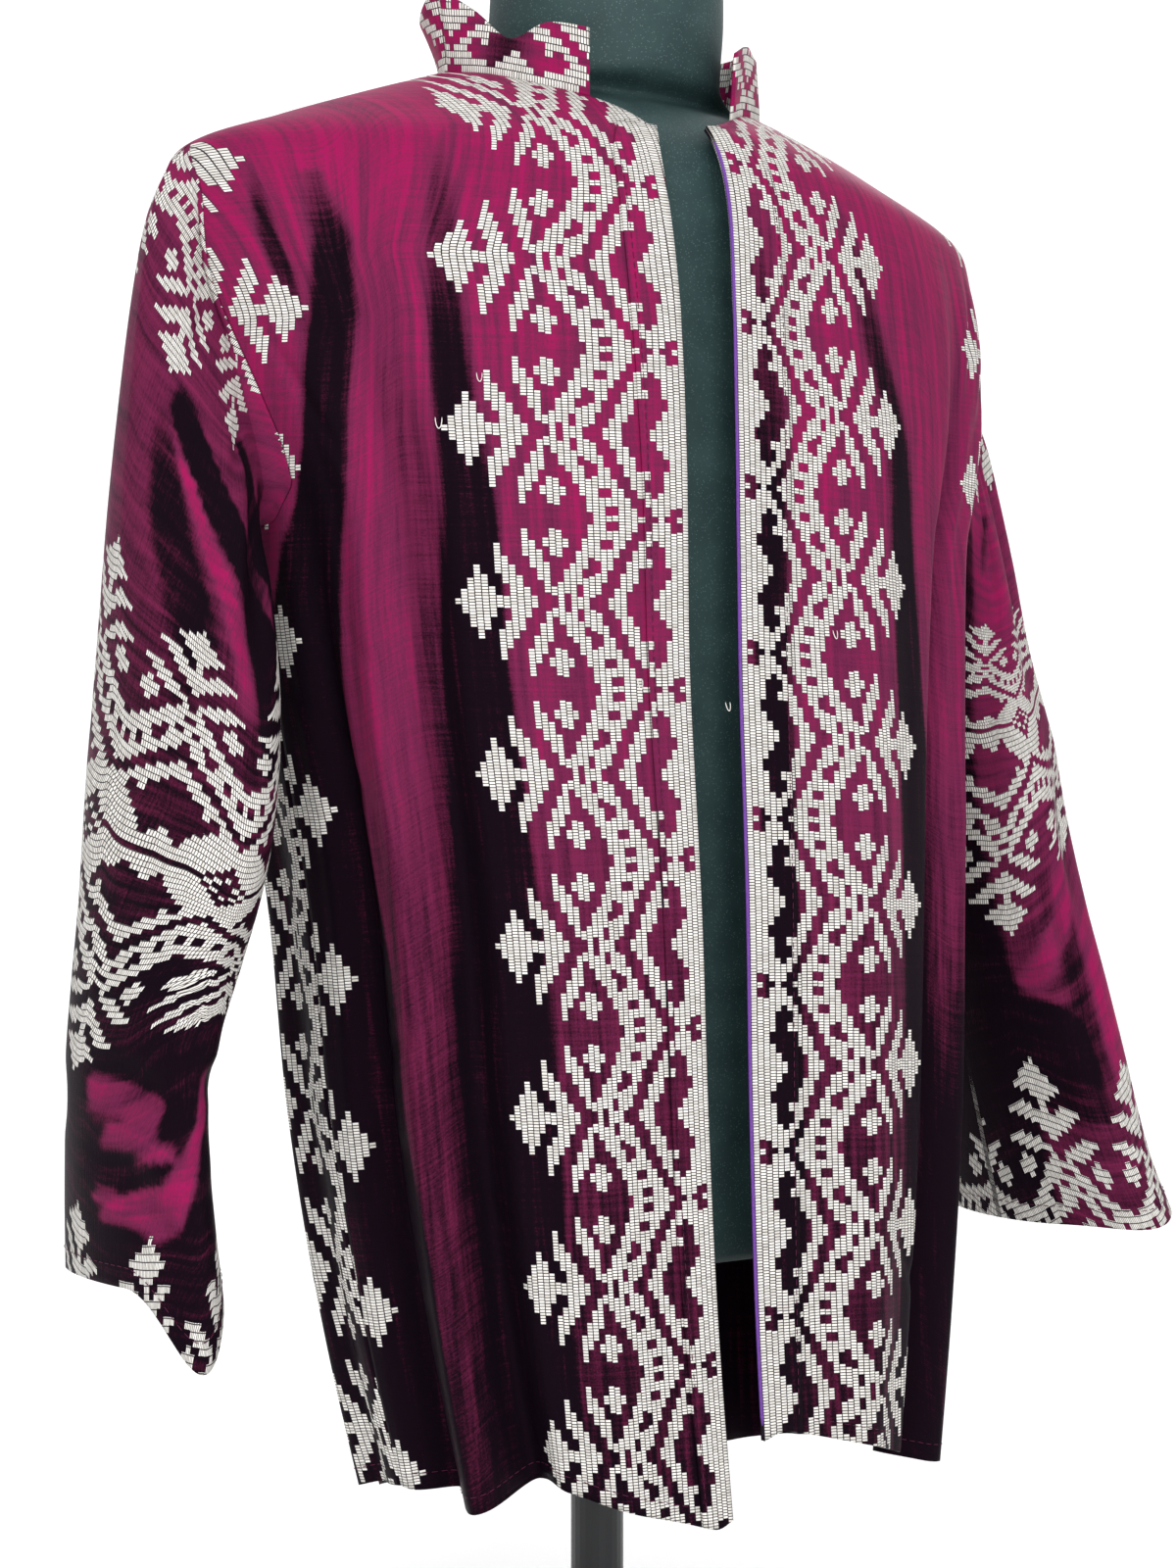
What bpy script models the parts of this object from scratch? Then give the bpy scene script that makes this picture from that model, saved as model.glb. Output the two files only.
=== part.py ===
"""Open-front, long-sleeved jacket with a stand collar on a limbless dress form and a short counter stand.

Metres, +Z up, the jacket faces -Y and its wearer's right is -X. The origin is the centre of the
stand's underside. Every cloth piece is a walled sheet: an outer face and an inner face CLOTH apart,
joined round the edge. The three body panels share one surface, body(phi, level), so that their
seams meet; the sleeves and the collar start from the same edge points, moved off by SEAM_GAP.
Made to a shoulder width of 444 mm, a body length of 711 mm and an arm length of 571 mm.
"""
import bmesh
import bpy
import numpy as np

# ---------------------------------------------------------------- named sizes (metres)
NECK_POINT_Z = 0.800         # height of the high point of the shoulder above the floor
CLOTH = 0.0015               # cloth wall
SEAM_GAP = 0.0003            # between pieces at a seam
ALLOWANCE = 0.0032           # of the armhole seam, on the sleeve
ARM_GAP = 0.00042            # at the armhole, where the edge turns sharply
BAND_WIDTH = 0.020           # front edge band
BAND_WALL = 0.0012
FORM_BOTTOM_Z = 0.230
FORM_NECK_TOP_Z = 0.885
NECK_RADIUS = 0.058
NECK_CENTRE_Y = -0.008        # middle of the form's neck
BASE_RADIUS, BASE_HEIGHT = 0.150, 0.012
POLE_RADIUS = 0.013
UNDERARM_Z = -0.226          # below the neck point, as the next two are
SHOULDER_Z = -0.050
EDGE_UNDERARM_Z = -0.216     # place on the front edge that is level with the underarm
LEFT_DROP = 0.014            # how much lower the wearer's left shoulder sits
LEFT_IN = 0.014              # how much further in its point lies

ROWS_SIDE = 14               # rows from the hem to the underarm
ROWS_ARM = 12                # rows from the underarm to the shoulder point
ROWS_CF = 6                  # of those, rows up to the top of the front edge
COLS_FRONT = 26
# places along the front neck edge; the collar starts at the third
NECK_STEPS = {
    -1: (0.0, 0.15, 0.30, 0.475, 0.65, 0.825, 1.0),
    1: (0.0, 0.12, 0.24, 0.43, 0.62, 0.81, 1.0),
}
COLLAR_START = 2
SHOULDER_STEPS = 12
COLS_BACK = 40
BLEND_ROW = ROWS_SIDE + 5     # where the back's rows start to turn to its top line
ROUND_SLEEVE = 2 * ROWS_ARM
OVAL_RINGS = 6.0             # rings over which the armhole's shape eases into an oval
BAND_COLS = 2                # columns of a front that lie under its edge band
CHEST_HALF_WIDTH = 0.186
SLEEVE_ROWS = 17
FORM_ROUND = 36
FORM_POWER = 2.08            # of the form's ovals

# One row per level of the body, z below the neck point: half width, depth in front, depth behind,
# y of the side line, x of the centre, and the power of the oval.
LEVELS = np.array([
    # z,      half_w, front,  back,   side_y, centre_x, power
    (0.000, 0.0850, 0.0000, 0.0000, 0.000, 0.000, 2.00),
    (-0.006, 0.1018, 0.0430, 0.0500, 0.000, 0.000, 2.00),
    (-0.018, 0.1370, 0.0690, 0.0800, 0.000, 0.000, 2.00),
    (-0.034, 0.1810, 0.0910, 0.0980, 0.000, 0.000, 2.00),
    (-0.052, 0.2235, 0.1040, 0.1090, 0.000, 0.000, 2.02),
    (-0.078, 0.2285, 0.1110, 0.1170, -0.001, 0.000, 2.08),
    (-0.114, 0.2280, 0.1120, 0.1230, -0.004, 0.000, 2.10),
    (-0.159, 0.2170, 0.1110, 0.1280, -0.008, 0.000, 2.15),
    (-0.200, 0.2035, 0.1090, 0.1310, -0.012, 0.000, 2.20),
    (-0.226, 0.1960, 0.1080, 0.1320, -0.014, 0.000, 2.22),
    (-0.300, 0.1880, 0.1070, 0.1320, -0.017, 0.001, 2.22),
    (-0.400, 0.1765, 0.1060, 0.1300, -0.020, 0.006, 2.22),
    (-0.500, 0.1690, 0.1055, 0.1260, -0.022, 0.009, 2.20),
    (-0.600, 0.1545, 0.1040, 0.1180, -0.025, 0.012, 2.18),
    (-0.720, 0.1310, 0.1020, 0.1080, -0.028, 0.018, 2.12),
])

# Edges as angle (degrees; 0 is the centre front, -90 the wearer's right side, +90 the left, 180 the
# centre back) and height below the neck point.
HEM = np.array([
    # angle, z
    (-180.0, -0.698), (-135.0, -0.688), (-105.0, -0.672), (-90.0, -0.668), (-75.0, -0.674),
    (-60.0, -0.668), (-47.0, -0.660), (-35.0, -0.668), (-14.0, -0.6835), (-8.0, -0.6770),
    (-2.0, -0.6400), (15.0, -0.6520), (30.0, -0.6620), (55.0, -0.6780), (90.0, -0.6800),
    (135.0, -0.6910), (180.0, -0.6980),
])
FRONT_EDGE = {
    # z, angle
    -1: np.array([(-0.70, -10.4), (-0.50, -9.6), (-0.30, -8.4), (-0.12, -7.6), (-0.038, -9.1)]),
    1: np.array([(-0.70, -3.0), (-0.50, -2.4), (-0.30, -1.0), (-0.12, -0.4), (-0.034, 0.0)]),
}
NECK_FRONT = {
    # angle, z
    -1: np.array([(-9.1, -0.038), (-13.0, -0.030), (-20.0, -0.0215), (-36.0, -0.013),
                  (-54.0, -0.0062), (-72.0, -0.0022), (-90.0, -0.0003)]),
    1: np.array([(0.0, -0.034), (8.0, -0.026), (18.0, -0.0170), (36.0, -0.0115),
                 (54.0, -0.0060), (72.0, -0.0022), (90.0, -0.0003)]),
}
NECK_BACK = np.array([(90.0, -0.0003), (110.0, -0.0022), (130.0, -0.0046), (155.0, -0.0070),
                      (180.0, -0.0080), (205.0, -0.0070), (230.0, -0.0046), (250.0, -0.0022),
                      (270.0, -0.0003)])
# armholes, underarm to shoulder point, as angle from the centre front or past the side line
ARM_FRONT = np.array([(90.0, -0.226), (84.0, -0.2235), (78.0, -0.2140), (75.0, -0.1990), (76.0, -0.1650),
                      (80.5, -0.1140), (81.5, -0.0800), (85.0, -0.0600), (90.0, -0.0500)])
ARM_BACK = np.array([(90.0, -0.226), (98.0, -0.2210), (104.0, -0.2040), (107.0, -0.1700), (106.0, -0.1300),
                     (103.0, -0.0900), (97.0, -0.0620), (90.0, -0.0500)])

# Long upright folds of the body: angle at the top and at the hem, half spread (degrees) at the top
# and at the hem, depth (mm, minus is a trough) under the shoulder, at the waist and at the hem.
FOLDS = np.array([
    # top,  hem,  spread_t, spread_h, d_top, d_mid, d_hem
    (-49.0, -52.0, 6.0, 9.0, -7.0, -10.0, -14.0),
    (-61.0, -63.0, 6.0, 8.0, 3.0, 7.0, 10.0),
    (-74.0, -78.0, 7.0, 10.0, -1.0, -10.0, -14.0),
    (-30.0, -31.0, 12.0, 12.0, 1.5, 3.5, 5.0),
    (-91.0, -93.0, 7.0, 9.0, 0.0, 2.0, 2.0),
    (47.0, 45.0, 6.0, 9.0, -7.0, -10.0, -14.0),
    (59.0, 58.0, 6.0, 8.0, 3.0, 7.0, 9.0),
    (73.0, 74.0, 7.0, 10.0, -1.0, -9.0, -13.0),
    (22.0, 21.0, 12.0, 12.0, 1.5, 3.0, 5.0),
    (91.0, 92.0, 7.0, 9.0, 0.0, 2.0, 2.0),
    (107.0, 108.0, 7.0, 9.0, -1.0, -9.0, -13.0),
    (122.0, 121.0, 7.0, 8.0, 3.0, 7.0, 9.0),
    (137.0, 136.0, 7.0, 9.0, -5.0, -9.0, -13.0),
    (154.0, 153.0, 8.0, 9.0, 2.0, 6.0, 8.0),
    (172.0, 170.0, 9.0, 9.0, -3.0, -7.0, -11.0),
    (-169.0, -171.0, 9.0, 9.0, 2.0, 6.0, 9.0),
    (-152.0, -154.0, 8.0, 9.0, -4.0, -8.0, -12.0),
    (-136.0, -137.0, 7.0, 9.0, 3.0, 6.0, 9.0),
    (-121.0, -122.0, 7.0, 8.0, -4.0, -8.0, -12.0),
    (-107.0, -107.0, 7.0, 8.0, 2.0, 5.0, 8.0),
])
FOLD_LEVELS = (-0.060, -0.20, -0.36, -0.68)   # folds start, top depth, waist depth, hem depth
FOLD_SCALE = 1.3             # of every fold's depth

# Sleeve rings below the armhole, heights below the neck point: outer edge, inner edge, middle y,
# half depth, and how far the front of the sleeve hangs below the rest.
RINGS = {
    -1: np.array([
        # out_x,  out_z,   in_x,    in_z,    mid_y,  half_y, front_drop
        (-0.2320, -0.0600, -0.2030, -0.2250, -0.0040, 0.0350, 0.0000),
        (-0.2420, -0.0800, -0.2075, -0.2300, -0.0080, 0.0385, 0.0000),
        (-0.2505, -0.1150, -0.2085, -0.2440, -0.0130, 0.0430, 0.0000),
        (-0.2580, -0.1600, -0.2075, -0.2640, -0.0180, 0.0490, 0.0000),
        (-0.2650, -0.2100, -0.2065, -0.2900, -0.0230, 0.0550, 0.0000),
        (-0.2700, -0.2620, -0.2065, -0.3200, -0.0270, 0.0610, 0.0000),
        (-0.2745, -0.3120, -0.2090, -0.3550, -0.0300, 0.0650, 0.0000),
        (-0.2790, -0.3570, -0.2160, -0.3900, -0.0320, 0.0630, 0.0010),
        (-0.2840, -0.3960, -0.2270, -0.4220, -0.0350, 0.0580, 0.0020),
        (-0.2890, -0.4290, -0.2380, -0.4500, -0.0380, 0.0540, 0.0030),
        (-0.2925, -0.4610, -0.2450, -0.4760, -0.0400, 0.0520, 0.0060),
        (-0.2925, -0.4950, -0.2450, -0.5040, -0.0400, 0.0530, 0.0110),
        (-0.2915, -0.5270, -0.2425, -0.5310, -0.0390, 0.0560, 0.0200),
        (-0.2900, -0.5560, -0.2380, -0.5600, -0.0370, 0.0580, 0.0330),
    ]),
    1: np.array([
        (0.2310, -0.0600, 0.2040, -0.2250, -0.0020, 0.0350, 0.0000),
        (0.2350, -0.0800, 0.2080, -0.2300, 0.0010, 0.0385, 0.0000),
        (0.2430, -0.1150, 0.2085, -0.2440, 0.0040, 0.0430, 0.0000),
        (0.2540, -0.1600, 0.2075, -0.2640, 0.0060, 0.0490, 0.0000),
        (0.2630, -0.2100, 0.2065, -0.2900, 0.0070, 0.0550, 0.0000),
        (0.2680, -0.2620, 0.2070, -0.3200, 0.0080, 0.0610, 0.0000),
        (0.2735, -0.3120, 0.2095, -0.3550, 0.0060, 0.0670, 0.0000),
        (0.2805, -0.3570, 0.2160, -0.3900, 0.0040, 0.0680, 0.0000),
        (0.2880, -0.3960, 0.2230, -0.4220, 0.0010, 0.0690, 0.0010),
        (0.2930, -0.4310, 0.2300, -0.4520, -0.0020, 0.0710, 0.0020),
        (0.2970, -0.4650, 0.2350, -0.4830, -0.0060, 0.0730, 0.0030),
        (0.3025, -0.4980, 0.2400, -0.5150, -0.0100, 0.0760, 0.0040),
        (0.3100, -0.5300, 0.2450, -0.5460, -0.0140, 0.0800, 0.0050),
        (0.3210, -0.5590, 0.2500, -0.5760, -0.0180, 0.0840, 0.0060),
    ]),
}
# Creases of the sleeves: place along the sleeve (0 armhole, 1 cuff), place round it in degrees
# (0 outer, 90 front, 180 inner, 270 back), half length along, half spread round, slant (degrees
# round for each unit along) and depth in mm.
CREASES = {
    -1: np.array([
        (0.34, 118.0, 0.16, 24.0, -160.0, -5.0),
        (0.38, 84.0, 0.18, 22.0, -160.0, 3.5),
        (0.46, 50.0, 0.14, 22.0, -120.0, -3.5),
        (0.42, 235.0, 0.20, 26.0, 150.0, -5.0),
        (0.45, 285.0, 0.20, 26.0, 120.0, 3.5),
        (0.70, 60.0, 0.035, 60.0, 0.0, -4.5),
        (0.75, 85.0, 0.030, 60.0, 0.0, 3.0),
        (0.81, 50.0, 0.035, 55.0, 0.0, -5.0),
        (0.86, 80.0, 0.030, 60.0, 0.0, 3.5),
        (0.91, 60.0, 0.030, 50.0, 0.0, -4.0),
        (0.73, 260.0, 0.040, 60.0, 0.0, -4.5),
        (0.83, 280.0, 0.040, 60.0, 0.0, -4.5),
    ]),
    1: np.array([
        (0.36, 60.0, 0.20, 24.0, 110.0, -4.5),
        (0.44, 105.0, 0.20, 24.0, 90.0, 3.5),
        (0.60, 75.0, 0.16, 22.0, 60.0, -4.0),
        (0.75, 100.0, 0.20, 24.0, -40.0, -4.0),
        (0.82, 55.0, 0.18, 24.0, -40.0, 3.5),
        (0.42, 235.0, 0.20, 26.0, -120.0, -4.5),
        (0.62, 285.0, 0.20, 26.0, 60.0, 3.5),
        (0.80, 250.0, 0.20, 26.0, 0.0, -4.0),
    ]),
}

# Collar from the wearer's right front end (0) round the back to the left front end (1).
COLLAR = np.array([
    # place, height, lean outward
    (0.00, 0.0310, 0.001),
    (0.05, 0.0290, 0.000),
    (0.11, 0.0180, -0.004),
    (0.16, 0.0300, 0.000),
    (0.20, 0.0370, 0.005),
    (0.25, 0.0290, 0.009),
    (0.30, 0.0240, 0.010),
    (0.38, 0.0340, 0.005),
    (0.50, 0.0370, 0.002),
    (0.62, 0.0350, 0.004),
    (0.70, 0.0310, 0.006),
    (0.78, 0.0350, 0.004),
    (0.86, 0.0290, -0.002),
    (0.94, 0.0330, 0.002),
    (1.00, 0.0310, 0.003),
])

COLLAR_SHARES = (0.0, 0.15, 0.5, 1.0)     # rows of the collar, as shares of its height
COLLAR_FOOT = 0.0006                       # of the lowest row above the neck edge

# Form below the neck, z below the neck point: half width, front, back, side_y, centre_x
FORM = np.array([
    (-0.0100, 0.0980, 0.0430, 0.0480, 0.000, 0.0),
    (-0.0215, 0.1350, 0.0660, 0.0740, 0.000, 0.0),
    (-0.0375, 0.1770, 0.0860, 0.0920, 0.000, 0.0),
    (-0.0570, 0.1980, 0.0940, 0.0980, -0.001, 0.0),
    (-0.0850, 0.2010, 0.0960, 0.0980, -0.003, 0.0),
    (-0.1200, 0.1940, 0.0950, 0.0990, -0.005, 0.0),
    (-0.1600, 0.1800, 0.0935, 0.1000, -0.008, 0.0),
    (-0.2100, 0.1700, 0.0920, 0.1000, -0.011, 0.0),
    (-0.2700, 0.1640, 0.0880, 0.0980, -0.014, 0.002),
    (-0.3300, 0.1580, 0.0840, 0.0940, -0.017, 0.003),
    (-0.3900, 0.1530, 0.0800, 0.0900, -0.019, 0.005),
    (-0.4500, 0.1490, 0.0780, 0.0880, -0.020, 0.008),
    (-0.5100, 0.1440, 0.0760, 0.0870, -0.022, 0.011),
    (-0.5500, 0.1390, 0.0740, 0.0850, -0.023, 0.013),
    (-0.5650, 0.1330, 0.0700, 0.0800, -0.023, 0.014),
    (-0.5700, 0.1210, 0.0610, 0.0710, -0.023, 0.014),
])
NECK = np.array([
    # z,    half_w, half_y, middle_y
    (-0.002, 0.0660, 0.0540, -0.004),
    (0.010, 0.0600, 0.0560, -0.006),
    (0.030, NECK_RADIUS, NECK_RADIUS, -0.008),
    (0.060, 0.0570, 0.0570, -0.009),
    (FORM_NECK_TOP_Z - NECK_POINT_Z, 0.0560, 0.0560, -0.010),
])


# Material of each piece; linear colour and roughness of each material.
FINISHES = {
    "figured_silk": ((0.27, 0.045, 0.11), 0.50),
    "figured_edge": ((0.72, 0.69, 0.66), 0.70),
    "form_shell": ((0.025, 0.045, 0.048), 0.60),
    "cap_plastic": ((0.020, 0.025, 0.028), 0.60),
    "stand_paint": ((0.030, 0.032, 0.035), 0.40),
}
MATERIAL_OF = {
    "front_right": "figured_silk", "front_left": "figured_silk", "back": "figured_silk",
    "sleeve_right": "figured_silk", "sleeve_left": "figured_silk", "collar": "figured_silk",
    "band_right": "figured_edge", "band_left": "figured_edge", "form_torso": "form_shell",
    "form_neck_cap": "cap_plastic", "stand_pole": "stand_paint", "stand_base": "stand_paint",
}
COLLECTION = "open_front_jacket"


# ---------------------------------------------------------------- curves and surfaces
def smooth(x, xs, ys):
    """Cubic through the rows (xs rising), with slopes taken from the neighbours."""
    xs, ys = np.asarray(xs, float), np.asarray(ys, float)
    x = np.asarray(x, float)
    h = np.diff(xs)
    d = np.diff(ys) / h
    m = np.empty_like(ys)
    m[1:-1] = (d[:-1] * h[1:] + d[1:] * h[:-1]) / (h[:-1] + h[1:])
    m[0], m[-1] = d[0], d[-1]
    k = np.clip(np.searchsorted(xs, x) - 1, 0, len(h) - 1)
    t = np.clip((x - xs[k]) / h[k], 0.0, 1.0)
    a, b = ys[k], ys[k + 1]
    return (a * (2 * t**3 - 3 * t**2 + 1) + b * (3 * t**2 - 2 * t**3)
            + m[k] * h[k] * (t**3 - 2 * t**2 + t) + m[k + 1] * h[k] * (t**3 - t**2))


LEVEL_NUMBERS = np.arange(len(LEVELS), dtype=float)
DENSE_LEVEL = np.linspace(0.0, len(LEVELS) - 1.0, 2801)
DENSE_Z = smooth(DENSE_LEVEL, LEVEL_NUMBERS, LEVELS[:, 0])


def level_at(z):
    """Level number whose z (below the neck point) is z."""
    return np.interp(-np.asarray(z, float), -DENSE_Z, DENSE_LEVEL)


def bump(x):
    """Smooth hump, 1 at 0 and 0 beyond 1."""
    return np.where(np.abs(x) < 1.0, np.cos(0.5 * np.pi * x) ** 2, 0.0)


def fold_depth(phi, z):
    """Sum of the long folds, metres outward, at angle phi and height z."""
    t = np.clip((FOLD_LEVELS[1] - z) / (FOLD_LEVELS[1] - FOLD_LEVELS[3]), 0.0, 1.0)
    total = np.zeros(np.broadcast(phi, z).shape)
    for top, hem, spread_t, spread_h, d_top, d_mid, d_hem in FOLDS:
        centre = top + (hem - top) * t
        spread = spread_t + (spread_h - spread_t) * t
        depth = np.interp(-z, [-v for v in FOLD_LEVELS], [0.0, d_top, d_mid, d_hem])
        away = (phi - centre + 180.0) % 360.0 - 180.0
        total = total + 0.001 * depth * bump(away / spread)
    return total * FOLD_SCALE


def lean(x, z):
    """x and drop of a point because the wearer's left shoulder is lower and narrower."""
    t = np.clip(x / 0.20, 0.0, 1.0)
    t = t * t * (3.0 - 2.0 * t)
    inward = LEFT_IN * t * np.clip(1.0 + z / 0.16, 0.0, 1.0)
    return x - inward, LEFT_DROP * t * np.clip(1.0 + z / 0.30, 0.0, 1.0)


def back_lift(away, z):
    """How much higher the back of the neck lies; away is the angle past the side line."""
    return 0.016 * np.sin(np.radians(away)) ** 2 * np.clip(1.0 + z / 0.12, 0.0, 1.0) ** 2


def oval(angle, half_w, depth, side_y, centre_x, power):
    """x and y of a rounded oval at an angle from its front: signed powers of the sine and cosine."""
    s, c = np.sin(np.radians(angle)), np.cos(np.radians(angle))
    x = centre_x + half_w * np.sign(s) * np.abs(s) ** (2.0 / power)
    return x, side_y - depth * np.sign(c) * np.abs(c) ** (2.0 / power)


def past_side(phi):
    """Degrees behind the side line, 0 in front of it."""
    return np.clip(np.abs((phi + 180.0) % 360.0 - 180.0) - 90.0, 0.0, 90.0)


def body_bare(phi, level):
    """Body surface without folds: an oval of the level's sizes at angle phi, lifted behind the neck."""
    phi, level = np.broadcast_arrays(np.asarray(phi, float), np.asarray(level, float))
    z, a, front, back, side_y, cx, power = (smooth(level, LEVEL_NUMBERS, LEVELS[:, k]) for k in range(7))
    depth = np.where(np.cos(np.radians(phi)) >= 0.0, front, back)
    x, y = oval(phi, a, depth, side_y, cx, power)
    x, drop = lean(x, z)
    height = NECK_POINT_Z + z + back_lift(past_side(phi), z) - drop
    return np.stack([x, y, height], axis=-1), z


def normal_of(surface, phi, level):
    """Outward direction, from the cross product of small steps down and round the surface."""
    dp, dl = 0.4, 0.02
    a = surface(phi + dp, level) - surface(phi - dp, level)
    b = surface(phi, level + dl) - surface(phi, np.maximum(level - dl, 0.03))
    n = np.cross(b, a)
    return n / np.linalg.norm(n, axis=-1, keepdims=True)


def body(phi, level):
    """Body surface with its folds, each point moved out along the bare surface's outward direction."""
    phi, level = np.broadcast_arrays(np.asarray(phi, float), np.asarray(level, float))
    p, z = body_bare(phi, level)
    n = normal_of(lambda u, v: body_bare(u, v)[0], phi, level)
    return p + n * fold_depth(phi, z)[..., None]


def along(table, t, side=1.0):
    """Points of an edge table spaced by t (0..1) of its length on the body: angle and level."""
    k = np.arange(len(table), dtype=float)
    fine = np.linspace(0.0, len(table) - 1.0, 241)
    phi, z = smooth(fine, k, table[:, 0]), smooth(fine, k, table[:, 1])
    p = body_bare(phi * side, level_at(z))[0]
    run = np.concatenate([[0.0], np.cumsum(np.linalg.norm(np.diff(p, axis=0), axis=1))])
    at = np.interp(np.asarray(t, float) * run[-1], run, fine)
    return smooth(at, k, table[:, 0]) * side, level_at(smooth(at, k, table[:, 1]))


def hem_level(phi):
    """Level of the hem at an angle."""
    phi = (np.asarray(phi, float) + 180.0) % 360.0 - 180.0
    return level_at(np.interp(phi, HEM[:, 0], HEM[:, 1]))


def gap_angle(z_level):
    """Half the seam gap as an angle at the side line."""
    depth = smooth(z_level, LEVEL_NUMBERS, LEVELS[:, 2])
    return np.degrees(0.5 * SEAM_GAP / np.maximum(depth, 0.02))


def side_edge(side, table, sign):
    """Side seam then armhole, hem to shoulder point; sign +1 keeps to the front of the side line."""
    rows = np.arange(ROWS_SIDE + ROWS_ARM + 1)
    foot = np.interp(hem_level(90.0 * side), DENSE_LEVEL, DENSE_Z)
    level = level_at(foot + (UNDERARM_Z - foot) * np.clip(rows / ROWS_SIDE, 0, 1))
    arm_phi, arm_level = along(table, np.clip((rows - ROWS_SIDE) / ROWS_ARM, 0, 1), side)
    low = rows <= ROWS_SIDE
    phi = np.where(low, 90.0 * side, arm_phi)
    level = np.where(low, level, arm_level)
    phi = phi - sign * side * gap_angle(level)
    phi[-1] = 90.0 * side
    level[-1] = level_at(SHOULDER_Z)
    return phi, level


def hem_blend(phi, level):
    """Levels with the lowest row moved to the hem line, and the rows above it by less and less."""
    rows = np.arange(len(level))
    fade = (np.clip(1.0 - rows / ROWS_SIDE, 0, 1) ** 1.5)[:, None]
    return level + (hem_level(phi[0]) - level[0])[None, :] * fade


def front_grid(side):
    """Angle and level of the front panel's points: rows from the hem up, columns from the edge."""
    rows = np.arange(ROWS_SIDE + ROWS_ARM + 1)
    top = ROWS_SIDE + ROWS_CF
    edge = FRONT_EDGE[side]
    z_foot = float(np.interp(hem_level(edge[0, 1]), DENSE_LEVEL, DENSE_Z))
    z = np.interp(rows, [0, ROWS_SIDE, top], [z_foot, EDGE_UNDERARM_Z, edge[-1, 0]])
    neck_t = np.interp(rows - top, np.arange(len(NECK_STEPS[side])), NECK_STEPS[side])
    neck_phi, neck_level = along(NECK_FRONT[side], neck_t)
    phi_l = np.where(rows <= top, smooth(z, edge[:, 0], edge[:, 1]), neck_phi)
    level_l = np.where(rows <= top, level_at(z), neck_level)
    phi_r, level_r = side_edge(side, ARM_FRONT, 1.0)
    # shares of the way across: two columns under the edge band, then even ones to the side
    band = BAND_WIDTH / CHEST_HALF_WIDTH * 180.0 / np.pi / 80.0
    even = band + (1 - band) * np.arange(1, COLS_FRONT - 1) / (COLS_FRONT - 2)
    share = np.concatenate([[0.0, band / 2, band], even])
    side_line = 90.0 * side
    close = np.clip((share - 0.40) / 0.60, 0, 1)[None, :] ** 1.6
    phi = phi_l[:, None] + (side_line - phi_l)[:, None] * share[None, :]
    phi = phi + (phi_r - side_line)[:, None] * close
    span = np.abs(phi_r - phi_l)[:, None]
    part = np.where(span > 1.0, np.abs(phi - phi_l[:, None]) / np.maximum(span, 1.0), share[None, :])
    level = level_l[:, None] + (level_r - level_l)[:, None] * np.clip(part, 0, 1) ** 1.1
    # the row at the top of the band follows the neck edge across the band
    rise = np.where(share <= band, share / band, np.clip(1.0 - (share - band) / 0.35, 0, 1) ** 2)
    for row, lift in ((top, 0.30), (top - 1, 0.13), (top - 2, 0.05)):
        level[row] -= lift * rise
    level = hem_blend(phi, level)
    phi[-1] = side_line
    level[-1] = level_at(np.interp(share, [0, 1], [NECK_FRONT[side][-1, 1], SHOULDER_Z]))
    return phi, level


def back_grid():
    """Angle (90 to 270, left side to right side) and level of the back panel's points."""
    rows = np.arange(ROWS_SIDE + ROWS_ARM + 1)
    phi_a, level_a = side_edge(1, ARM_BACK, -1.0)
    phi_b, level_b = side_edge(-1, ARM_BACK, -1.0)
    phi_b = phi_b + 360.0
    u = np.linspace(0.0, 1.0, COLS_BACK + 1)
    close_a = np.clip(1.0 - u / 0.35, 0, 1)[None, :] ** 1.6
    close_b = np.clip(1.0 - (1.0 - u) / 0.35, 0, 1)[None, :] ** 1.6
    phi = 90.0 + 180.0 * u[None, :] + (phi_a - 90.0)[:, None] * close_a + (phi_b - 270.0)[:, None] * close_b
    level = hem_blend(phi, level_a[:, None] + (level_b - level_a)[:, None] * u[None, :])
    # top line: left shoulder, back neck, right shoulder
    steps = SHOULDER_STEPS
    shoulder = level_at(np.linspace(SHOULDER_Z, NECK_BACK[0, 1], steps + 1))[:-1]
    neck_phi, neck_level = along(NECK_BACK, np.linspace(0.0, 1.0, COLS_BACK - 2 * steps + 1))
    top_phi = np.concatenate([np.full(steps, 90.0), neck_phi, np.full(steps, 270.0)])
    top_level = np.concatenate([shoulder, neck_level, shoulder[::-1]])
    # a ruled blend to the top line, bent at both ends to keep the armhole edges
    s = np.clip((rows - BLEND_ROW) / (rows[-1] - BLEND_ROW), 0, 1)[:, None]
    up_phi = phi[BLEND_ROW][None, :] * (1 - s) + top_phi[None, :] * s
    up_level = level[BLEND_ROW][None, :] * (1 - s) + top_level[None, :] * s
    near_a, near_b = (1 - u)[None, :] ** 2, u[None, :] ** 2
    end_phi = (phi_a - up_phi[:, 0])[:, None] * near_a + (phi_b - up_phi[:, -1])[:, None] * near_b
    end_level = (level_a - up_level[:, 0])[:, None] * near_a + (level_b - up_level[:, -1])[:, None] * near_b
    high = (rows > BLEND_ROW)[:, None]
    return np.where(high, up_phi + end_phi, phi), np.where(high, up_level + end_level, level)


# ---------------------------------------------------------------- meshes
def unit(v):
    return v / np.maximum(np.linalg.norm(v, axis=-1, keepdims=True), 1e-12)


def paint(name, colour, roughness):
    """A plain material of one colour, given as linear red, green and blue."""
    material = bpy.data.materials.new(name)
    material.use_nodes = True
    shader = material.node_tree.nodes["Principled BSDF"]
    shader.inputs["Base Color"].default_value = (*colour, 1.0)
    shader.inputs["Roughness"].default_value = roughness
    return material


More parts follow.
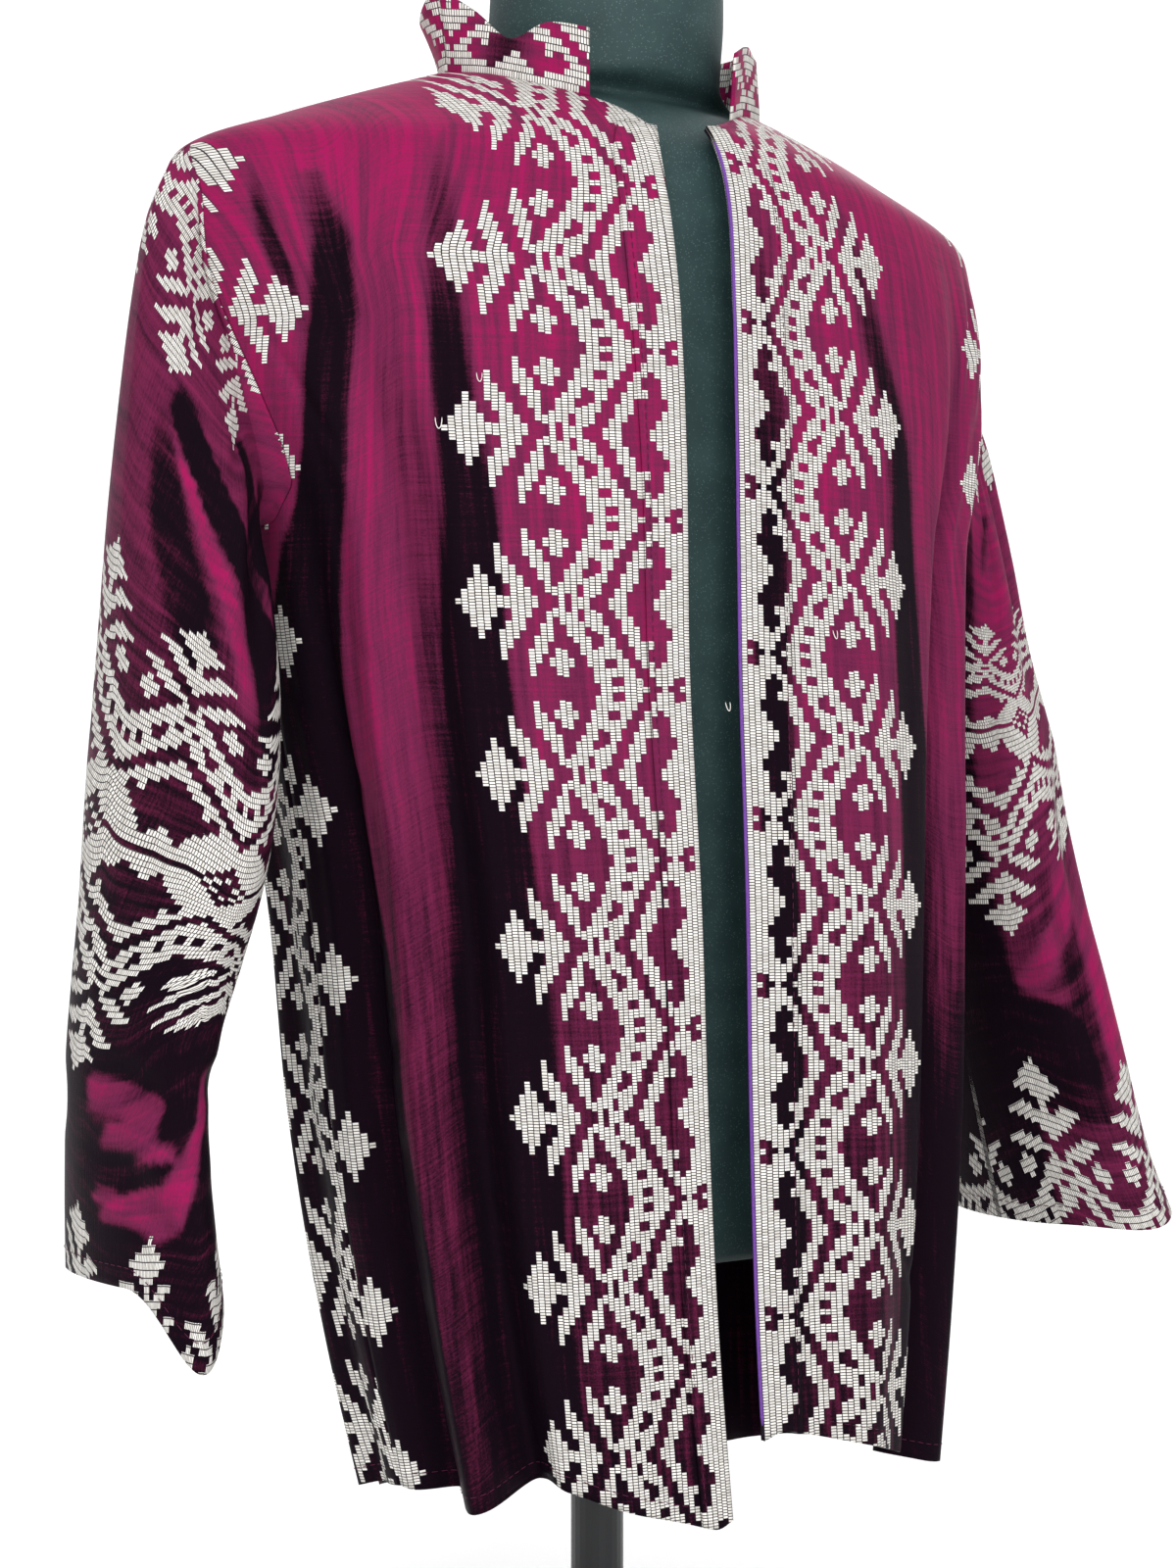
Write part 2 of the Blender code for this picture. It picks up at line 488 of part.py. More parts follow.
def add_object(name, verts, faces):
    """A closed triangle mesh with its faces pointing out, in the jacket's collection."""
    mesh = bpy.data.meshes.new(name)
    bm = bmesh.new()
    points = [bm.verts.new(tuple(float(c) for c in p)) for p in verts]
    for f in faces:
        bm.faces.new([points[i] for i in f])
    bmesh.ops.triangulate(bm, faces=[f for f in bm.faces if len(f.verts) > 3])
    bmesh.ops.recalc_face_normals(bm, faces=bm.faces)
    if bm.calc_volume(signed=True) < 0:
        bmesh.ops.reverse_faces(bm, faces=bm.faces)
    bm.to_mesh(mesh)
    bm.free()
    mesh.materials.append(MATERIALS[MATERIAL_OF[name]])
    obj = bpy.data.objects.new(name, mesh)
    bpy.data.collections[COLLECTION].objects.link(obj)
    return obj


def walled_sheet(name, outer, inner, ring=False):
    """Closed wall between two grids of points; ring joins the last column to the first."""
    rows, cols = outer.shape[:2]
    verts = np.concatenate([outer.reshape(-1, 3), inner.reshape(-1, 3)])
    off = rows * cols

    def at(r, c):
        return r * cols + c % cols

    faces = []
    last = cols if ring else cols - 1
    for r in range(rows - 1):
        for c in range(last):
            a, b, d, e = at(r, c), at(r, c + 1), at(r + 1, c + 1), at(r + 1, c)
            pair = [(a, b, d), (a, d, e)] if (r + c) % 2 else [(a, b, e), (b, d, e)]
            faces += pair
            faces += [tuple(off + i for i in reversed(f)) for f in pair]
    for c in range(last):
        for r in (0, rows - 1):
            a, b = at(r, c), at(r, c + 1)
            faces.append((a, off + a, off + b, b) if r == 0 else (a, b, off + b, off + a))
    if not ring:
        for r in range(rows - 1):
            for c in (0, cols - 1):
                a, b = at(r, c), at(r + 1, c)
                faces.append((a, b, off + b, off + a) if c == 0 else (a, off + a, off + b, b))
    return add_object(name, verts, faces)


def solid_rings(name, rings):
    """Solid through closed rings of points from the bottom up, flat at both ends."""
    n = len(rings[0])
    faces = []
    for r in range(len(rings) - 1):
        for c in range(n):
            faces.append((r * n + c, r * n + (c + 1) % n, (r + 1) * n + (c + 1) % n, (r + 1) * n + c))
    faces.append(tuple(range(n))[::-1])
    faces.append(tuple((len(rings) - 1) * n + c for c in range(n)))
    return add_object(name, np.concatenate(rings), faces)


def turned(name, profile, centre_y, count):
    """A round solid from its profile of heights and radii, about an upright axis at centre_y."""
    q = np.arange(count) * 2 * np.pi / count
    rings = [np.stack([r * np.sin(q), centre_y - r * np.cos(q), np.full_like(q, z)], axis=-1)
             for z, r in profile]
    return solid_rings(name, rings)


# ---------------------------------------------------------------- body panels and edge bands
def walled_body(phi, level):
    """Outer and inner faces of the cloth on the body, and the outward direction."""
    n = normal_of(body, phi, level)
    outer = body(phi, level)
    return outer, outer - CLOTH * n, n


def front_panel(side, label):
    """A front and the edge band that lies on its first columns, moved out."""
    outer, inner, n = walled_body(*front_grid(side))
    for face in (outer, inner):
        face[-1, :, 1] -= 0.5 * SEAM_GAP
    walled_sheet("front_" + label, outer, inner)
    part = (slice(0, ROWS_SIDE + ROWS_CF + 1), slice(0, BAND_COLS + 1))
    raised = outer[part] + (SEAM_GAP + BAND_WALL) * n[part]
    walled_sheet("band_" + label, raised, outer[part] + SEAM_GAP * n[part])
    return outer, inner, n


def back_panel():
    """The back, its shoulder edges moved half a seam gap behind the shoulder line."""
    outer, inner, n = walled_body(*back_grid())
    for face in (outer, inner):
        face[-1, :SHOULDER_STEPS + 1, 1] += 0.5 * SEAM_GAP
        face[-1, -SHOULDER_STEPS - 1:, 1] += 0.5 * SEAM_GAP
    walled_sheet("back", outer, inner)
    return outer, inner, n


# ---------------------------------------------------------------- sleeves
def crease_depth(side, t, psi):
    """Sum of the creases, metres outward, at place t along the sleeve and angle psi round it."""
    total = np.zeros(np.broadcast(t, psi).shape)
    for place, at, reach, spread, slant, depth in CREASES[side]:
        away = (psi - at - slant * (t - place) + 180.0) % 360.0 - 180.0
        total = total + 0.001 * depth * bump((t - place) / reach) * bump(away / spread)
    return total


def tube_normals(points):
    """Outward directions of a tube given as rows of closed rings."""
    around = np.roll(points, -1, axis=1) - np.roll(points, 1, axis=1)
    n = unit(np.cross(around, np.gradient(points, axis=0)))
    out = (n * (points - points.mean(axis=1, keepdims=True))).sum(-1).mean()
    return n if out > 0 else -n


def armhole(front, back, col):
    """Loops of points round an armhole (underarm, front, shoulder point, back): outer, inner and the
    direction in the cloth toward the sleeve."""
    loops = []
    for f, b in zip(front, back):
        f, b = f[ROWS_SIDE:, -1], b[ROWS_SIDE:, col]
        loops.append(np.concatenate([(f[:1] + b[:1]) / 2, f[1:-1], (f[-1:] + b[-1:]) / 2, b[-2:0:-1]]))
    outer, inner, n = loops
    run = unit(np.roll(outer, -1, axis=0) - np.roll(outer, 1, axis=0))
    toward = unit(np.cross(run, n))
    inward = (toward * (outer.mean(axis=0) - outer)).sum(-1).mean()
    return outer, inner, toward if inward > 0 else -toward


def sleeve(side, name, arm_outer, arm_inner, toward):
    """Tube from the armhole loop down through the rings."""
    table = RINGS[side]
    psi = (180.0 - np.arange(ROUND_SLEEVE) * 360.0 / ROUND_SLEEVE) % 360.0
    places = np.linspace(1.0, len(table), SLEEVE_ROWS)
    k = np.arange(1, len(table) + 1, dtype=float)
    ox, oz, ix, iz, my, hy, drop = (smooth(places, k, table[:, c])[:, None] for c in range(7))
    # the armhole's own shape eases into an oval over the upper sleeve
    crown, foot = arm_outer[ROWS_ARM], arm_outer[0]
    middle, axis = (crown + foot) / 2, unit(crown - foot)
    up = ((arm_outer - middle) @ axis) / (np.linalg.norm(crown - foot) / 2)
    across = middle[1] - arm_outer[:, 1]
    across = across / np.where(across > 0, across.max(), -across.min())
    ease = np.clip((places - 1.0) / OVAL_RINGS, 0.0, 1.0)[:, None] ** 1.2
    c = up[None, :] * (1 - ease) + np.cos(np.radians(psi))[None, :] * ease
    s = across[None, :] * (1 - ease) + np.sin(np.radians(psi))[None, :] * ease
    x = (ox + ix) / 2 + (ox - ix) / 2 * c
    z = (oz + iz) / 2 + (oz - iz) / 2 * c - drop * bump((psi - 90.0) / 60.0)[None, :]
    x, lower = lean(x, z)
    grid = np.stack([x, my - hy * s, NECK_POINT_Z + z - lower], axis=-1)
    # the seam allowance carries the body's line on for a few millimetres before the sleeve falls
    seam = np.stack([arm_outer + ARM_GAP * toward, arm_outer + ALLOWANCE * toward])
    full = np.concatenate([seam, grid])
    t = np.linspace(0.0, 1.0, len(full))[:, None]
    full = full + tube_normals(full) * crease_depth(side, t, psi[None, :])[..., None]
    n = tube_normals(full)
    full[:2] = seam
    inner = full - CLOTH * n
    inner[0], inner[1] = arm_inner + ARM_GAP * toward, arm_inner + ALLOWANCE * toward
    walled_sheet(name, full, inner, ring=True)


# ---------------------------------------------------------------- collar
def neck_line(right, back, left):
    """Neck edge from the right front end of the collar round the back to the left front end, with two
    points for each step of the fronts."""
    start = ROWS_SIDE + ROWS_CF + COLLAR_START
    lines = []
    for r, b, f in zip(right, back, left):
        r, f = r[start:, 0], f[start:, 0][::-1]
        b = b[-1, SHOULDER_STEPS:COLS_BACK + 1 - SHOULDER_STEPS][::-1]
        line = np.concatenate([r[:-1], (r[-1:] + b[:1]) / 2, b[1:-1], (b[-1:] + f[:1]) / 2, f[1:]])
        steps, last = len(r) - 1, len(r) + len(b) - 2
        at = np.concatenate([np.arange(0, steps, 0.5), np.arange(steps, last),
                             np.arange(last, len(line) - 0.75, 0.5)])
        lines.append(np.stack([np.interp(at, np.arange(len(line)), line[:, c]) for c in range(3)], axis=-1))
    outer, inner, n = lines
    toward = unit(np.cross(unit(np.gradient(outer, axis=0)), n))
    aim = np.array([0.0, NECK_CENTRE_Y, NECK_POINT_Z + 0.05]) - outer
    toward = np.where((toward * aim).sum(-1, keepdims=True) < 0, -toward, toward)
    return outer, inner, toward


def collar(neck_outer, neck_inner, toward):
    """Stand collar: a strip that rises from the neck edge, wavy along its top."""
    run = np.concatenate([[0.0], np.cumsum(np.linalg.norm(np.diff(neck_outer, axis=0), axis=1))])
    t = run / run[-1]
    outward = neck_outer - np.array([0.0, NECK_CENTRE_Y, 0.0])
    outward[:, 2] = 0.0
    outward = unit(outward)
    height = smooth(t, COLLAR[:, 0], COLLAR[:, 1])[:, None]
    lean = smooth(t, COLLAR[:, 0], COLLAR[:, 2])[:, None]
    base = neck_outer + SEAM_GAP * toward
    up = np.array([0.0, 0.0, 1.0])
    outer = [neck_inner + SEAM_GAP * toward]
    for share in COLLAR_SHARES:
        outer.append(base + up * (COLLAR_FOOT + height * share) + outward * lean * share**1.3)
    outer = np.stack(outer)
    walled_sheet("collar", outer, outer - CLOTH * outward[None])


# ---------------------------------------------------------------- form and stand
def form():
    """Ovals from the flat underside to the top of the neck."""
    angle = np.arange(FORM_ROUND) * 360.0 / FORM_ROUND
    s, c = np.sin(np.radians(angle)), np.cos(np.radians(angle))
    rings = []
    for z, half_w, front, back, side_y, centre_x in FORM[::-1]:
        x, y = oval(angle, half_w, np.where(c >= 0, front, back), side_y, centre_x, FORM_POWER)
        x, drop = lean(x, z)
        height = NECK_POINT_Z + z + back_lift(past_side(angle), z) - drop
        rings.append(np.stack([x, y, height], axis=-1))
    for z, half_w, half_y, middle_y in NECK:
        foot = max(0.0, 1 - z / 0.05) ** 2
        x, drop = lean(half_w * s, 0.0)
        x = half_w * s + foot * (x - half_w * s)
        lift = foot * (0.010 * np.clip(-c, 0, 1) ** 2 - drop)
        rings.append(np.stack([x, middle_y - half_y * c, NECK_POINT_Z + z + lift], axis=-1))
    solid_rings("form_torso", rings)


def cap_and_stand():
    """Neck cap, pole and round base, clear of each other by the seam gap."""
    top = FORM_NECK_TOP_Z + SEAM_GAP
    turned("form_neck_cap", ((top, 0.0540), (top + 0.003, 0.0565), (top + 0.009, 0.0565),
                             (top + 0.0125, 0.0530), (top + 0.0145, 0.0440)), -0.010, 32)
    turned("stand_pole", ((BASE_HEIGHT + SEAM_GAP, POLE_RADIUS),
                          (FORM_BOTTOM_Z - SEAM_GAP, POLE_RADIUS)), 0.0, 24)
    turned("stand_base", ((0.0, BASE_RADIUS - 0.002), (0.002, BASE_RADIUS), (0.008, BASE_RADIUS),
                          (BASE_HEIGHT, BASE_RADIUS - 0.005)), 0.0, 48)


def girth(z):
    """Length round the folded cloth at a height below the neck point."""
    ring = body(np.linspace(-180, 180, 721), np.full(721, float(level_at(z))))
    return float(np.linalg.norm(np.diff(ring, axis=0), axis=1).sum())


# ---------------------------------------------------------------- build
for old in list(bpy.data.objects):
    bpy.data.objects.remove(old, do_unlink=True)
bpy.context.scene.collection.children.link(bpy.data.collections.new(COLLECTION))
MATERIALS = {name: paint(name, colour, roughness) for name, (colour, roughness) in FINISHES.items()}

right_front = front_panel(-1, "right")
left_front = front_panel(1, "left")
whole_back = back_panel()
sleeve(-1, "sleeve_right", *armhole(right_front, whole_back, -1))
sleeve(1, "sleeve_left", *armhole(left_front, whole_back, 0))
collar(*neck_line(right_front, whole_back, left_front))
form()
cap_and_stand()

total = 0
for obj in bpy.data.collections[COLLECTION].objects:
    total += len(obj.data.polygons)
    print(obj.name, "triangles", len(obj.data.polygons))
print("triangles in all", total)
for z in (-0.25, -0.40, -0.55, -0.66):
    print("round the cloth at", z, round(girth(z), 4))
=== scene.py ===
# %% [markdown]
# # An open-front figured jacket on a dress form
# The jacket is cut from one handwoven cloth: a changeable silk ground, magenta one way and nearly
# black the other, with pale weft threads laid in over it to draw bands of figures. It has two fronts,
# a back, two sleeves, a stand collar and two front edge bands, and it hangs on a limbless dress form
# with a short counter stand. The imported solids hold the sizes. This script makes the finer cloth that
# stands for them, and the finish of every surface.

import bpy
import numpy as np
from mathutils import Matrix


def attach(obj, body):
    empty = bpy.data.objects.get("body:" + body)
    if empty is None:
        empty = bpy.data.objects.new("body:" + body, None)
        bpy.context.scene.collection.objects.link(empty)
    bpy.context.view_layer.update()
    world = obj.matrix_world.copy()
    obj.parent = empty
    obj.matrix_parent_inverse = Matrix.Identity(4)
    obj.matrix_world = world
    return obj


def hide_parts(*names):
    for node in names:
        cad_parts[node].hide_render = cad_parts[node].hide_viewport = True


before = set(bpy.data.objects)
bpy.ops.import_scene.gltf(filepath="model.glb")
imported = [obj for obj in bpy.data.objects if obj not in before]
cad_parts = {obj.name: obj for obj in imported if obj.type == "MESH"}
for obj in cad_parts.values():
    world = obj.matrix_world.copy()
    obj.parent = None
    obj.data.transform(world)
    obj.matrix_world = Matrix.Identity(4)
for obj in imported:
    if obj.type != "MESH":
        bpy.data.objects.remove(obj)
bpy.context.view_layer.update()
print("nodes", sorted(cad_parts))

# %% [markdown]
# ## Camera
# The camera stands a little to the wearer's right at the height of the chest, and looks level. Its
# focal length is worked out in pixels of a 1200 by 1600 frame, and turned to the lens of a sensor
# 36 mm along the frame's longer side. A small shift puts the level line of sight where it belongs.

# %% Camera
IMAGE_SIZE = (1200, 1600)
SENSOR = 36.0
FOCAL_PX = 3090.0
SIGHT_PX = (609.0, 790.0)            # where the line of sight meets the frame
EYE = np.array([-0.839, -1.244, 0.462])
SIGHT = np.array([0.559, 0.829, 0.0])


def look_along(obj, place, direction):
    """Put obj at place with its -Z axis along direction and its X axis level."""
    back = -direction / np.linalg.norm(direction)
    right = np.cross([0.0, 0.0, 1.0], back)
    right /= np.linalg.norm(right)
    up = np.cross(back, right)
    turned = np.eye(4)
    turned[:3, 0], turned[:3, 1], turned[:3, 2], turned[:3, 3] = right, up, back, place
    obj.matrix_world = Matrix(turned.tolist())


camera_data = bpy.data.cameras.new("camera")
camera_data.sensor_width = SENSOR
camera_data.lens = FOCAL_PX / IMAGE_SIZE[1] * SENSOR
camera_data.shift_x = (IMAGE_SIZE[0] / 2 - SIGHT_PX[0]) / IMAGE_SIZE[1]
camera_data.shift_y = (SIGHT_PX[1] - IMAGE_SIZE[1] / 2) / IMAGE_SIZE[1]
camera = bpy.data.objects.new("camera", camera_data)
bpy.context.scene.collection.objects.link(camera)
look_along(camera, EYE, SIGHT)
bpy.context.scene.camera = camera
print("lens", round(camera_data.lens, 2), "mm")

# %% [markdown]
# ## Small tools
# A colour is written as sRGB hex, as paint programs show it, and one function turns it to the linear
# values that the shader works with. One function adds a node with its settings and links. A grid of
# points, worked out as whole arrays, becomes a mesh with its UV map in one step.

# %% Small tools
def linear(hex_colour, alpha=1.0):
    """sRGB hex to linear red, green, blue and alpha."""
    srgb = np.array([int(hex_colour[k:k + 2], 16) for k in (1, 3, 5)]) / 255.0
    rgb = np.where(srgb <= 0.04045, srgb / 12.92, ((srgb + 0.055) / 1.055) ** 2.4)
    return (*rgb.tolist(), alpha)


def add(tree, kind, inputs=(), **settings):
    """Add a node: settings are its properties, and inputs gives its sockets, by number or name, each
    a constant or the node or socket that feeds it. A tuple stands for sockets 0, 1, 2 and so on."""
    node = tree.nodes.new("ShaderNode" + kind)
    for name, value in settings.items():
        setattr(node, name, value)
    sources = dict(enumerate(inputs)) if isinstance(inputs, tuple) else inputs
    for key, source in sources.items():
        if isinstance(source, bpy.types.Node):
            source = source.outputs[0]
        if isinstance(source, bpy.types.NodeSocket):
            tree.links.new(source, node.inputs[key])
        else:
            node.inputs[key].default_value = source
    return node


def material(name):
    """An empty node material, and its tree."""
    mat = bpy.data.materials.new(name)
    mat.use_nodes = True
    mat.node_tree.nodes.clear()
    return mat, mat.node_tree


def unit(v):
    """The same directions with a length of one."""
    return v / np.maximum(np.linalg.norm(v, axis=-1, keepdims=True), 1e-12)


def grid_faces(rows, cols, ring):
    """Corner numbers of the quads of a grid, turned so that a grid read from the foot up and to the
    left as seen from outside faces out; ring joins the last column to the first."""
    r, c = np.meshgrid(np.arange(rows - 1), np.arange(cols if ring else cols - 1), indexing="ij")
    right = (c + 1) % cols
    corners = [r * cols + c, r * cols + right, (r + 1) * cols + right, (r + 1) * cols + c]
    return np.stack(corners, -1).reshape(-1, 4)


def mesh_from(name, points, quads, threads=None, shade=None):
    """Mesh from an array of points and one of quads, with a UV map in thread counts and a painted shade."""
    mesh = bpy.data.meshes.new(name)
    mesh.vertices.add(len(points))
    mesh.vertices.foreach_set("co", points.astype(np.float32).ravel())
    mesh.loops.add(quads.size)
    mesh.loops.foreach_set("vertex_index", quads.astype(np.int32).ravel())
    mesh.polygons.add(len(quads))
    mesh.polygons.foreach_set("loop_start", np.arange(0, quads.size, 4, dtype=np.int32))
    mesh.update(calc_edges=True)
    mesh.polygons.foreach_set("use_smooth", np.ones(len(quads), dtype=bool))
    if threads is not None:
        layer = mesh.uv_layers.new(name="threads")
        layer.uv.foreach_set("vector", threads[quads.ravel()].astype(np.float32).ravel())
    if shade is not None:
        attribute = mesh.attributes.new("shade", "FLOAT", "POINT")
        attribute.data.foreach_set("value", shade.astype(np.float32))
    mesh.validate()
    obj = bpy.data.objects.new(name, mesh)
    bpy.context.scene.collection.objects.link(obj)
    return obj


def walled(name, outer, inner, threads, shade, ring=False):
    """A closed wall between an outer and an inner grid of points, both in the same order."""
    rows, cols = outer.shape[:2]
    count = rows * cols
    quads = grid_faces(rows, cols, ring)
    number = np.arange(count).reshape(rows, cols)
    rims = [number[0], number[-1][::-1]]
    if ring:
        rims = [np.append(number[0], number[0, 0]), np.append(number[-1], number[-1, 0])[::-1]]
    else:
        rims += [number[:, -1], number[::-1, 0]]
    strips = [np.stack([rim[1:], rim[:-1], rim[:-1] + count, rim[1:] + count], -1) for rim in rims]
    faces = np.concatenate([quads, quads[:, ::-1] + count] + strips)
    points = np.concatenate([outer.reshape(-1, 3), inner.reshape(-1, 3)])
    both = np.tile(threads.reshape(-1, 2), (2, 1))
    obj = mesh_from(name, points, faces, both, np.tile(shade.ravel(), 2))
    if signed_volume(points, faces) < 0:
        obj.data.flip_normals()
    return obj


def run_length(points, axis=0):
    """Length along lines of points, from the start to each point."""
    step = np.linalg.norm(np.diff(points, axis=axis), axis=-1)
    start = np.zeros_like(step.take([0], axis=axis))
    return np.concatenate([start, np.cumsum(step, axis=axis)], axis=axis)


def signed_volume(points, quads):
    """Volume inside the quads, by the sum of the pyramids from the origin; negative if they face in."""
    a, b, c, d = (points[quads[:, k]] for k in range(4))
    return float((np.cross(a, b) * c).sum() + (np.cross(a, c) * d).sum()) / 6.0


# %% [markdown]
# ## The body's surface
# Cloth on a form follows ovals that grow from the neck to the shoulders and narrow to the hem. The
# surface is a function of two parameters: an angle round the body and a level down it. A short
# table gives each level's oval, and a second one gives the long upright folds that hang from the
# chest, as soft troughs and ridges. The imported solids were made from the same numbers.

# %% Sizes and tables of the body
NECK_POINT_Z = 0.800
CLOTH = 0.0015
SEAM_GAP = 0.0003
ALLOWANCE = 0.0032
ARM_GAP = 0.00042
BAND_WIDTH, BAND_WALL = 0.020, 0.0012
ROWS_SIDE, ROWS_ARM, ROWS_CF = 14, 12, 6
COLS_FRONT, COLS_BACK, SHOULDER_STEPS = 26, 40, 12
NECK_STEPS = {
    -1: (0.0, 0.15, 0.30, 0.475, 0.65, 0.825, 1.0),
    1: (0.0, 0.12, 0.24, 0.43, 0.62, 0.81, 1.0),
}
UNDERARM_Z, SHOULDER_Z, EDGE_UNDERARM_Z = -0.226, -0.050, -0.216
LEFT_DROP, LEFT_IN = 0.014, 0.014    # how much lower and further in the left shoulder lies
LEFT_REACH = 0.20                    # from the centre to where the left shoulder is fully lower
DROP_FADE, IN_FADE = 0.30, 0.16      # how far down the body the two fade out
BACK_LIFT, LIFT_FADE = 0.016, 0.12   # how much higher the cloth lies behind the neck, and its fade
SIDE_CLOSE, SIDE_POWER = 0.40, 1.6   # share of a front before its columns close on the armhole
BACK_CLOSE = 0.35                    # share of the back over which its columns do
HEM_POWER, LEVEL_POWER = 1.5, 1.1    # how fast the hem's line fades up, and the rows tilt across
# rows below the neck corner, and how many levels each is lifted there
NECK_CORNER = ((0, 0.30), (1, 0.13), (2, 0.05))
NECK_RISE = 0.35                     # share of a front over which its neck corner is lifted
CHEST_HALF_WIDTH = 0.186
FRONT_ANGLE = 80.0                   # angle that a front covers, for the width of its band
BLEND_ROW = ROWS_SIDE + 5

LEVELS = np.array([
    # z,      half_w, front,  back,   side_y, centre_x, power
    (0.000, 0.0850, 0.0000, 0.0000, 0.000, 0.000, 2.00),
    (-0.006, 0.1018, 0.0430, 0.0500, 0.000, 0.000, 2.00),
    (-0.018, 0.1370, 0.0690, 0.0800, 0.000, 0.000, 2.00),
    (-0.034, 0.1810, 0.0910, 0.0980, 0.000, 0.000, 2.00),
    (-0.052, 0.2235, 0.1040, 0.1090, 0.000, 0.000, 2.02),
    (-0.078, 0.2285, 0.1110, 0.1170, -0.001, 0.000, 2.08),
    (-0.114, 0.2280, 0.1120, 0.1230, -0.004, 0.000, 2.10),
    (-0.159, 0.2170, 0.1110, 0.1280, -0.008, 0.000, 2.15),
    (-0.200, 0.2035, 0.1090, 0.1310, -0.012, 0.000, 2.20),
    (-0.226, 0.1960, 0.1080, 0.1320, -0.014, 0.000, 2.22),
    (-0.300, 0.1880, 0.1070, 0.1320, -0.017, 0.001, 2.22),
    (-0.400, 0.1765, 0.1060, 0.1300, -0.020, 0.006, 2.22),
    (-0.500, 0.1690, 0.1055, 0.1260, -0.022, 0.009, 2.20),
    (-0.600, 0.1545, 0.1040, 0.1180, -0.025, 0.012, 2.18),
    (-0.720, 0.1310, 0.1020, 0.1080, -0.028, 0.018, 2.12),
])
HEM = np.array([
    # angle, z
    (-180.0, -0.698), (-135.0, -0.688), (-105.0, -0.672), (-90.0, -0.668), (-75.0, -0.674),
    (-60.0, -0.668), (-47.0, -0.660), (-35.0, -0.668), (-14.0, -0.6835), (-8.0, -0.6770),
    (-2.0, -0.6400), (15.0, -0.6520), (30.0, -0.6620), (55.0, -0.6780), (90.0, -0.6800),
    (135.0, -0.6910), (180.0, -0.6980),
])
FRONT_EDGE = {
    # z, angle
    -1: np.array([(-0.70, -10.4), (-0.50, -9.6), (-0.30, -8.4), (-0.12, -7.6), (-0.038, -9.1)]),
    1: np.array([(-0.70, -3.0), (-0.50, -2.4), (-0.30, -1.0), (-0.12, -0.4), (-0.034, 0.0)]),
}
NECK_FRONT = {
    # angle, z
    -1: np.array([(-9.1, -0.038), (-13.0, -0.030), (-20.0, -0.0215), (-36.0, -0.013),
                  (-54.0, -0.0062), (-72.0, -0.0022), (-90.0, -0.0003)]),
    1: np.array([(0.0, -0.034), (8.0, -0.026), (18.0, -0.0170), (36.0, -0.0115),
                 (54.0, -0.0060), (72.0, -0.0022), (90.0, -0.0003)]),
}
NECK_BACK = np.array([(90.0, -0.0003), (110.0, -0.0022), (130.0, -0.0046), (155.0, -0.0070),
                      (180.0, -0.0080), (205.0, -0.0070), (230.0, -0.0046), (250.0, -0.0022),
                      (270.0, -0.0003)])
# armholes, underarm to shoulder point, as angle from the centre front or past the side line
ARM_FRONT = np.array([(90.0, -0.226), (84.0, -0.2235), (78.0, -0.2140), (75.0, -0.1990), (76.0, -0.1650),
                      (80.5, -0.1140), (81.5, -0.0800), (85.0, -0.0600), (90.0, -0.0500)])
ARM_BACK = np.array([(90.0, -0.226), (98.0, -0.2210), (104.0, -0.2040), (107.0, -0.1700), (106.0, -0.1300),
                     (103.0, -0.0900), (97.0, -0.0620), (90.0, -0.0500)])

# Long upright folds of the body: angle at the top and at the hem, half spread (degrees) at the top
# and at the hem, depth (mm, minus is a trough) under the shoulder, at the waist and at the hem.
FOLDS = np.array([
    # top,  hem,  spread_t, spread_h, d_top, d_mid, d_hem
    (-49.0, -52.0, 6.0, 9.0, -7.0, -10.0, -14.0),
    (-61.0, -63.0, 6.0, 8.0, 3.0, 7.0, 10.0),
    (-74.0, -78.0, 7.0, 10.0, -1.0, -10.0, -14.0),
    (-30.0, -31.0, 12.0, 12.0, 1.5, 3.5, 5.0),
    (-91.0, -93.0, 7.0, 9.0, 0.0, 2.0, 2.0),
    (47.0, 45.0, 6.0, 9.0, -7.0, -10.0, -14.0),
    (59.0, 58.0, 6.0, 8.0, 3.0, 7.0, 9.0),
    (73.0, 74.0, 7.0, 10.0, -1.0, -9.0, -13.0),
    (22.0, 21.0, 12.0, 12.0, 1.5, 3.0, 5.0),
    (91.0, 92.0, 7.0, 9.0, 0.0, 2.0, 2.0),
    (107.0, 108.0, 7.0, 9.0, -1.0, -9.0, -13.0),
    (122.0, 121.0, 7.0, 8.0, 3.0, 7.0, 9.0),
    (137.0, 136.0, 7.0, 9.0, -5.0, -9.0, -13.0),
    (154.0, 153.0, 8.0, 9.0, 2.0, 6.0, 8.0),
    (172.0, 170.0, 9.0, 9.0, -3.0, -7.0, -11.0),
    (-169.0, -171.0, 9.0, 9.0, 2.0, 6.0, 9.0),
    (-152.0, -154.0, 8.0, 9.0, -4.0, -8.0, -12.0),
    (-136.0, -137.0, 7.0, 9.0, 3.0, 6.0, 9.0),
    (-121.0, -122.0, 7.0, 8.0, -4.0, -8.0, -12.0),
    (-107.0, -107.0, 7.0, 8.0, 2.0, 5.0, 8.0),
])
FOLD_LEVELS = (-0.060, -0.20, -0.36, -0.68)
FOLD_SCALE = 1.3
